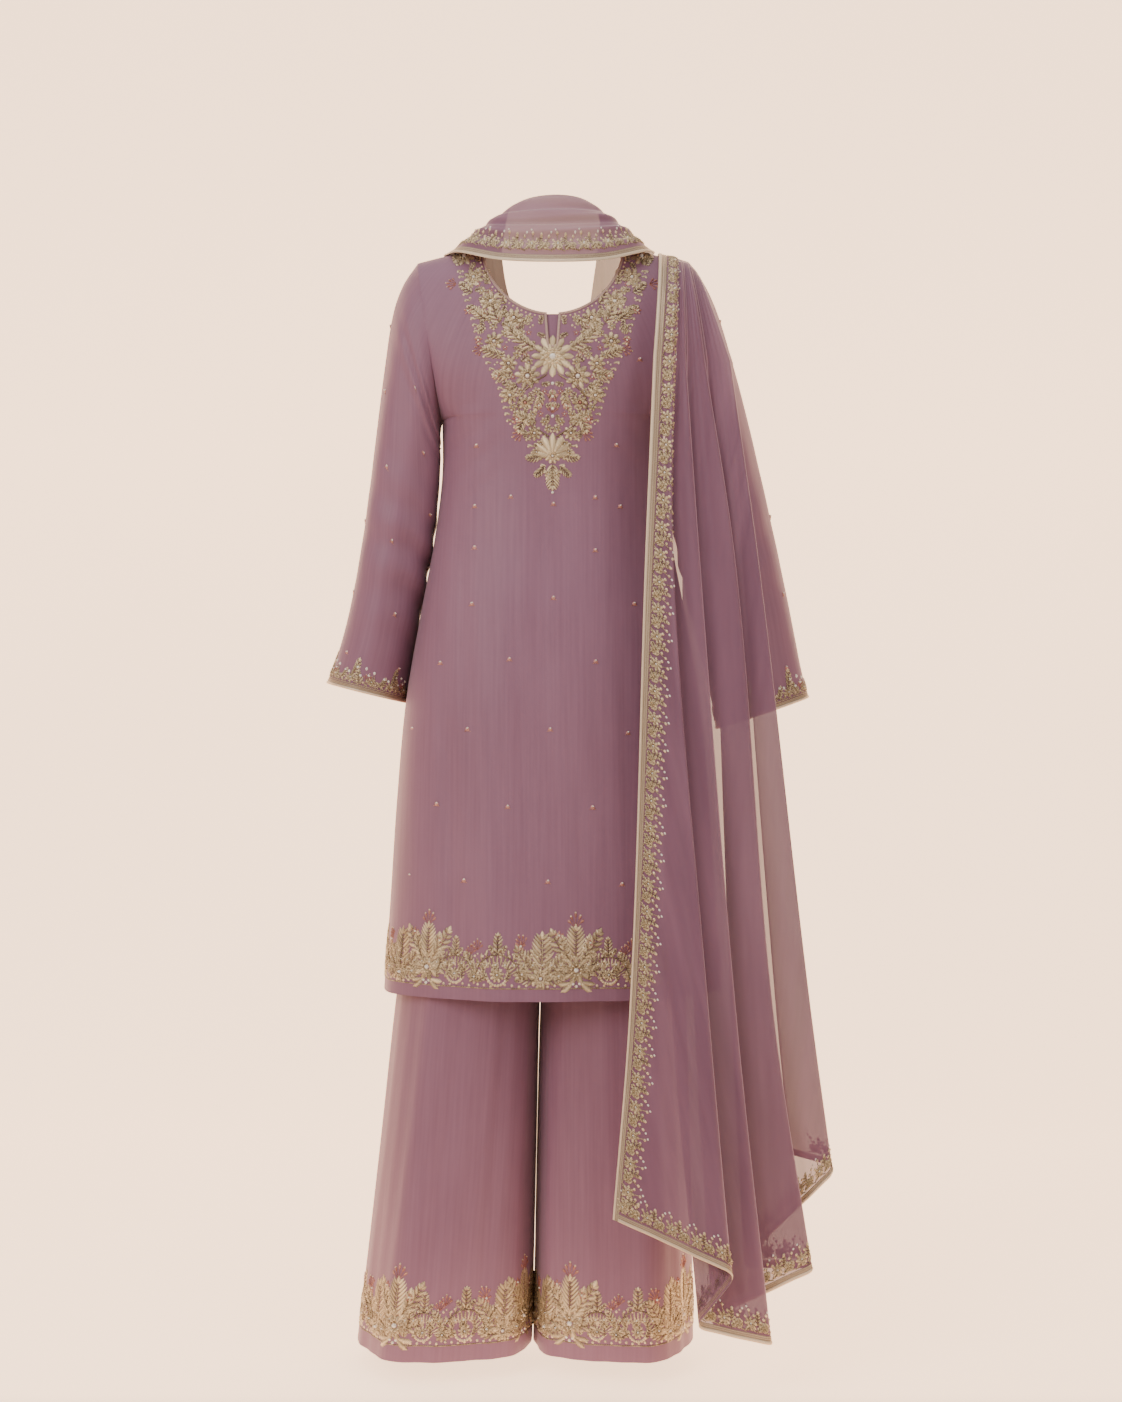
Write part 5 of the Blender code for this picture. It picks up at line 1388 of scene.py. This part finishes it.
for name, sign in (("cuff_left_embroidery", -1), ("cuff_right_embroidery", 1)):

    def cuff_row(turn, sign=sign):
        return sleeve(turn, CUFF_RING - 0.4, sign)

    cuff_keys, cuff_line = line_of(cuff_row, 400, 0, 2 * math.pi)
    around_cuff = cuff_line[-1]

    def cuff_border(u, v, sign=sign, keys=cuff_keys, line=cuff_line):
        """Round a cuff: v metres above its edge."""
        s = np.mod(u if sign > 0 else line[-1] - u, line[-1])
        return sleeve(np.interp(s, line, keys), CUFF_RING - v / 0.040, sign)

    count = round(around_cuff / 0.062)
    scale = around_cuff / count / 0.062
    rows = np.concatenate([moved(cuff_unit(), around_cuff / count * n, 0, 0, scale) for n in range(count)])
    stitched(name, rows, cuff_border, threads)

# Dupatta borders
# A dense vine of small flowers and leaves lies beside the gold tape, with pairs of bead tips standing out of it.


def vine(length, start=0.0):
    """A vine of that length along u, growing up v from the tape."""
    pitch = 0.036
    count = max(1, round(length / pitch))
    pitch = length / count
    one = [
        flower(0.008, 0.0225, 0.0092, 8, 90, GOLD, PEARL, 0.75),
        flower(0.0245, 0.0200, 0.0070, 7, 70, GOLD, GOLD, 0.6),
        vein_leaf(0.0150, 0.0150, 40, 0.0150, 0.0078, 40, 4, GOLD, 0.7),
        vein_leaf(0.0300, 0.0150, 128, 0.0150, 0.0078, -40, 4, GOLD, 0.7),
        vein_leaf(0.0170, 0.0200, 84, 0.0165, 0.0080, -20, 4, GOLD, 0.6),
        shape(
            [0.0, 0.009, 0.018, 0.027], 0.0145, [18, -18, 18, -18], 0.0096, 0.0017, [30, -30, 30, -30],
            STEM, 0.0012, 0.3,
        ),
        shape(np.arange(0, 0.034, 0.0043), 0.0128, np.tile([58, 122], 4), 0.0054, 0.0026, 0, LEAF, 0.0012, 0.6),
        shape([0.002, 0.012, 0.021, 0.032], 0.0215, [40, 150, 30, 140], 0.0078, 0.0036, 30, LEAF, 0.0012, 0.65),
        shape([0.003, 0.013, 0.022, 0.031], 0.0165, [60, 110, 70, 100], 0.0070, 0.0032, 0, PETAL, 0.0013, 0.7),
        shape(
            [0.0075, 0.0265, 0.0190], [0.0310, 0.0255, 0.033], [100, 70, 90], [0.0070, 0.0090, 0.004],
            0.0012, 0, STEM, 0.0010, 0.5,
        ),
        bead(
            [0.0070, 0.0295, 0.0190, 0.0015, 0.0255, 0.0130],
            [0.0390, 0.0355, 0.0375, 0.0305, 0.0300, 0.0330], 0.0042, GOLD,
        ),
        bead([0.0045, 0.0325], [0.0430, 0.0395], 0.0032, PEARL),
    ]
    one = np.concatenate(one)
    one[:, 0] *= pitch / 0.034
    rows = [moved(one, pitch * n + start, 0) for n in range(count)]
    return np.concatenate(rows)


edge_drops = np.concatenate([np.linspace(0, 1, 60), np.linspace(1, 2, 300)[1:]])
edge_points = hanging(0.05, edge_drops)
edge_line = np.concatenate([[0], np.cumsum(np.linalg.norm(np.diff(edge_points, axis=0), axis=-1))])
edge_width = np.linalg.norm(hanging(0.10, edge_drops) - hanging(0.02, edge_drops), axis=-1) / 0.08


def side_border(u, v):
    """The hanging stretch beside its bordered edge: u metres down from the shoulder ridge, v in from the edge."""
    drop = np.interp(u, edge_line, edge_drops)
    return hanging(v / np.interp(drop, edge_drops, edge_width), drop)


def hem_row(share):
    return hanging(share, 2.0)


hem_keys, hem_line = line_of(hem_row, 900)


def hem_border(u, v):
    """The hanging stretch above its hem: u metres back along the hem from its far end, v up from the hem."""
    return hanging(np.interp(hem_line[-1] - u, hem_line, hem_keys), 2 - v / 1.22)


def flipped(surface):
    """The same surface seen with u running the other way, so that shapes stand on its other face."""

    def turned(u, v):
        return surface(-u, v)

    return turned


side_length = edge_line[-1] - 0.020
side_work = stitched("dupatta_side_embroidery", vine(side_length, 0.006), side_border, threads)
hem_rows = vine(hem_line[-1] - 0.03, 0.0)
hem_rows = moved(hem_rows, -hem_line[-1] + 0.004, 0)
hem_work = stitched("dupatta_hem_embroidery", hem_rows, flipped(hem_border), threads)
for name, table, clear in (("dupatta_collar_embroidery", COLLAR, 0), ("dupatta_cowl_embroidery", COWL, 0.014)):

    def outer_row(at, table=table, clear=clear):
        return wrap(0.92, at, table, clear)

    wrap_keys, wrap_line = line_of(outer_row, 400, 0, len(table) - 1)
    wrap_width = np.linalg.norm(outer_row(wrap_keys) - wrap(0.62, wrap_keys, table, clear), axis=-1) / 0.30

    def wrap_border(u, v, table=table, clear=clear, keys=wrap_keys, line=wrap_line, width=wrap_width):
        """A wrap beside its bordered edge: u metres towards the wearer's right from its far end."""
        at = np.interp(line[-1] - u, line, keys)
        return wrap(1 - v / np.interp(at, keys, width), at, table, clear)

    rows = moved(vine(wrap_line[-1] - 0.012, 0.006), 0, 0.003, 0, 1)
    stitched(name, rows, wrap_border, threads)

# Scattered beads
# Single copper beads with a pale top and two tiny leaves dot the back, the sleeves and the front in loose rows.
SPOTS = (
    (-0.101, -0.276), (0.115, -0.163), (0.084, -0.276), (-0.103, -0.356), (-0.055, -0.345), (0.001, -0.355),
    (0.056, -0.346), (0.089, -0.357), (-0.103, -0.411), (0.056, -0.416), (0.001, -0.479), (-0.106, -0.486),
    (0.107, -0.486), (-0.148, -0.563), (-0.056, -0.559), (0.056, -0.562), (-0.186, -0.650), (-0.111, -0.650),
    (-0.003, -0.650), (0.098, -0.655), (-0.152, -0.748), (-0.058, -0.750), (0.052, -0.751), (-0.188, -0.843),
    (-0.115, -0.846), (-0.006, -0.846), (0.090, -0.850), (0.150, -0.748), (0.160, -0.562),
)


def spot(size=1.3):
    """A copper bead under a pale one, with two tiny leaves."""
    return np.concatenate([
        bead([0], [0], 0.0044 * size, COPPER, 0.0020),
        bead([0.0004], [0.0012], 0.0022 * size, PEARL, 0.0030),
        shape(0, -0.0010, [205, -25], 0.0040 * size, 0.0016, 0, LEAF, 0.0008, 0.6, COPPER),
    ])


def back_plain(x, z):
    """The back panel at x and z with its folds."""
    keys = column(KURTA_SECTIONS, KURTA_COLUMNS, "z")
    wide = curve(z, keys, column(KURTA_SECTIONS, KURTA_COLUMNS, "half_width"))
    angle = np.degrees(np.arcsin(np.clip(np.abs(x) / wide, 0, 1) ** (SQUARENESS / 2))) * np.sign(x)
    depth = superellipse(np.radians(angle))[1]
    pushed = fold_depth(BACK_FOLDS, angle, z, HEM_Z) * depth
    return np.stack([x, -(soft_y(x, z, -1) + SEAM / 2 + pushed), z], -1)


def front_plain(x, z):
    """The front panel, with x running the other way."""
    keys = column(KURTA_SECTIONS, KURTA_COLUMNS, "z")
    wide = curve(z, keys, column(KURTA_SECTIONS, KURTA_COLUMNS, "half_width"))
    angle = np.degrees(np.arcsin(np.clip(np.abs(x) / wide, 0, 1) ** (SQUARENESS / 2))) * -np.sign(x)
    depth = superellipse(np.radians(angle))[1]
    pushed = fold_depth(FRONT_FOLDS, angle, z, HEM_Z) * depth
    return np.stack([-x, soft_y(-x, z, 1) + SEAM / 2 + pushed, z], -1)


back_rows = np.concatenate([moved(spot(), x, z) for x, z in SPOTS])
back_spots = stitched("back_beads", back_rows, back_plain, threads)
front_rows = np.concatenate([moved(spot(), -x, z) for x, z in SPOTS if z < -0.30])
front_spots = stitched("front_beads", front_rows, front_plain, threads)
for name, sign in (("sleeve_left_beads", -1), ("sleeve_right_beads", 1)):

    def sleeve_at(u, v, sign=sign):
        """u is how far round the sleeve, v how far up from the cuff, in metres."""
        return sleeve(sign * u / 0.066, CUFF_RING - v / 0.066, sign)

    places = [(0.066 * (a + b * 0.45), 0.075 + 0.075 * b) for a in (0.7, 2.3, 3.9, 5.5) for b in range(6)]
    rows = np.concatenate([moved(spot(), sign * u, v) for u, v in places])
    stitched(name, rows, sleeve_at, threads)

# Floor and backdrop
# A pale cream paper sweep: level under the set and curving up far behind it. It glows with painted light of its
# own under and behind the set, lighting the set from there, and not in front, where it would light the cloth from
# below.
sweep_run = np.concatenate([[[-6.0, 0], [1.4, 0]], [
    [1.4 + 1.6 * math.sin(a), 1.6 - 1.6 * math.cos(a)] for a in np.linspace(0.08, math.pi / 2, 24)
], [[3.0, 5.0]]])
sweep_x = np.linspace(-6, 6, 25)
sweep = np.stack(np.broadcast_arrays(
    sweep_x[None, :], sweep_run[:, 0, None], sweep_run[:, 1, None] - 1.505
), -1)
paper = bpy.data.materials.new("paper")
paper.use_nodes = True
paper_nodes, paper_links = paper.node_tree.nodes, paper.node_tree.links
mottle = paper_nodes.new("ShaderNodeTexNoise")
mottle.inputs["Scale"].default_value = 1.1
mottle.inputs["Detail"].default_value = 4
paper_tint = paper_nodes.new("ShaderNodeValToRGB")
paper_tint.color_ramp.elements[0].position = 0.35
paper_tint.color_ramp.elements[0].color = (0.74, 0.60, 0.48, 1)
paper_tint.color_ramp.elements[1].position = 0.65
paper_tint.color_ramp.elements[1].color = (0.78, 0.64, 0.52, 1)
paper_place = paper_nodes.new("ShaderNodeTexCoord")
paper_links.new(paper_place.outputs["Object"], mottle.inputs["Vector"])
paper_links.new(mottle.outputs["Fac"], paper_tint.inputs["Fac"])
paper_links.new(paper_tint.outputs["Color"], paper_nodes["Principled BSDF"].inputs["Base Color"])
paper_nodes["Principled BSDF"].inputs["Roughness"].default_value = 0.9
# The paper's painted glow: an emission that is nothing in front of the set and full under and behind it.
paper_nodes["Principled BSDF"].inputs["Emission Color"].default_value = (1.0, 0.665, 0.425, 1)
paper_depth = paper_nodes.new("ShaderNodeSeparateXYZ")
paper_painted_glow = paper_nodes.new("ShaderNodeMapRange")
paper_painted_glow.inputs["From Min"].default_value = -0.45
paper_painted_glow.inputs["From Max"].default_value = -0.15
paper_painted_glow.inputs["To Max"].default_value = 2.7
paper_links.new(paper_place.outputs["Object"], paper_depth.inputs["Vector"])
paper_links.new(paper_depth.outputs["Y"], paper_painted_glow.inputs["Value"])
paper_links.new(paper_painted_glow.outputs["Result"], paper_nodes["Principled BSDF"].inputs["Emission Strength"])
paper_nodes["Principled BSDF"].inputs["Specular IOR Level"].default_value = 0.1
sweep_mesh = bpy.data.meshes.new("backdrop")
sweep_rows, sweep_columns = sweep.shape[:2]
sr, sc = np.meshgrid(np.arange(sweep_rows - 1), np.arange(sweep_columns - 1), indexing="ij")
first = sr * sweep_columns + sc
sweep_faces = np.stack([first, first + 1, first + sweep_columns + 1, first + sweep_columns], -1).reshape(-1, 4)
sweep_mesh.from_pydata(sweep.reshape(-1, 3).tolist(), [], sweep_faces.tolist())
sweep_mesh.materials.append(paper)
sweep_mesh.shade_smooth()
backdrop = bpy.data.objects.new("backdrop", sweep_mesh)
bpy.context.scene.collection.objects.link(backdrop)

# Light and camera
# Broad soft studio light from the upper left of the camera with a fill on the right, a pale room light, and a
# long lens level with the hips, straight behind the set.
aim = np.array([0.0, 0.0, -0.70])
for name, place, size, power in (
    ("key_light", (-2.3, -3.0, 1.3), 2.4, 105),
    ("fill_light", (2.9, -2.8, 0.4), 2.6, 48),
    ("top_light", (-0.2, -0.6, 2.4), 2.6, 46),
):
    lamp = bpy.data.lights.new(name, "AREA")
    lamp.shape = "SQUARE"
    lamp.size = size
    lamp.energy = power
    lamp.color = (1.0, 0.965, 0.93)
    light = bpy.data.objects.new(name, lamp)
    light.location = place
    way = aim - np.array(place)
    light.rotation_euler = (
        math.atan2(math.hypot(way[0], way[1]), -way[2]), 0, math.atan2(way[1], way[0]) - math.pi / 2,
    )
    bpy.context.scene.collection.objects.link(light)
room = bpy.data.worlds.new("room")
room.use_nodes = True
room.node_tree.nodes["Background"].inputs["Color"].default_value = (1.0, 0.94, 0.88, 1)
room.node_tree.nodes["Background"].inputs["Strength"].default_value = 0.26
bpy.context.scene.world = room
lens = bpy.data.cameras.new("camera")
lens.lens = 52.9
lens.sensor_width = 36
lens.clip_end = 30
camera = bpy.data.objects.new("camera", lens)
camera.location = (0.011, -2.8, -0.6134)
camera.rotation_euler = (math.pi / 2, 0, 0)
bpy.context.scene.collection.objects.link(camera)
bpy.context.scene.camera = camera
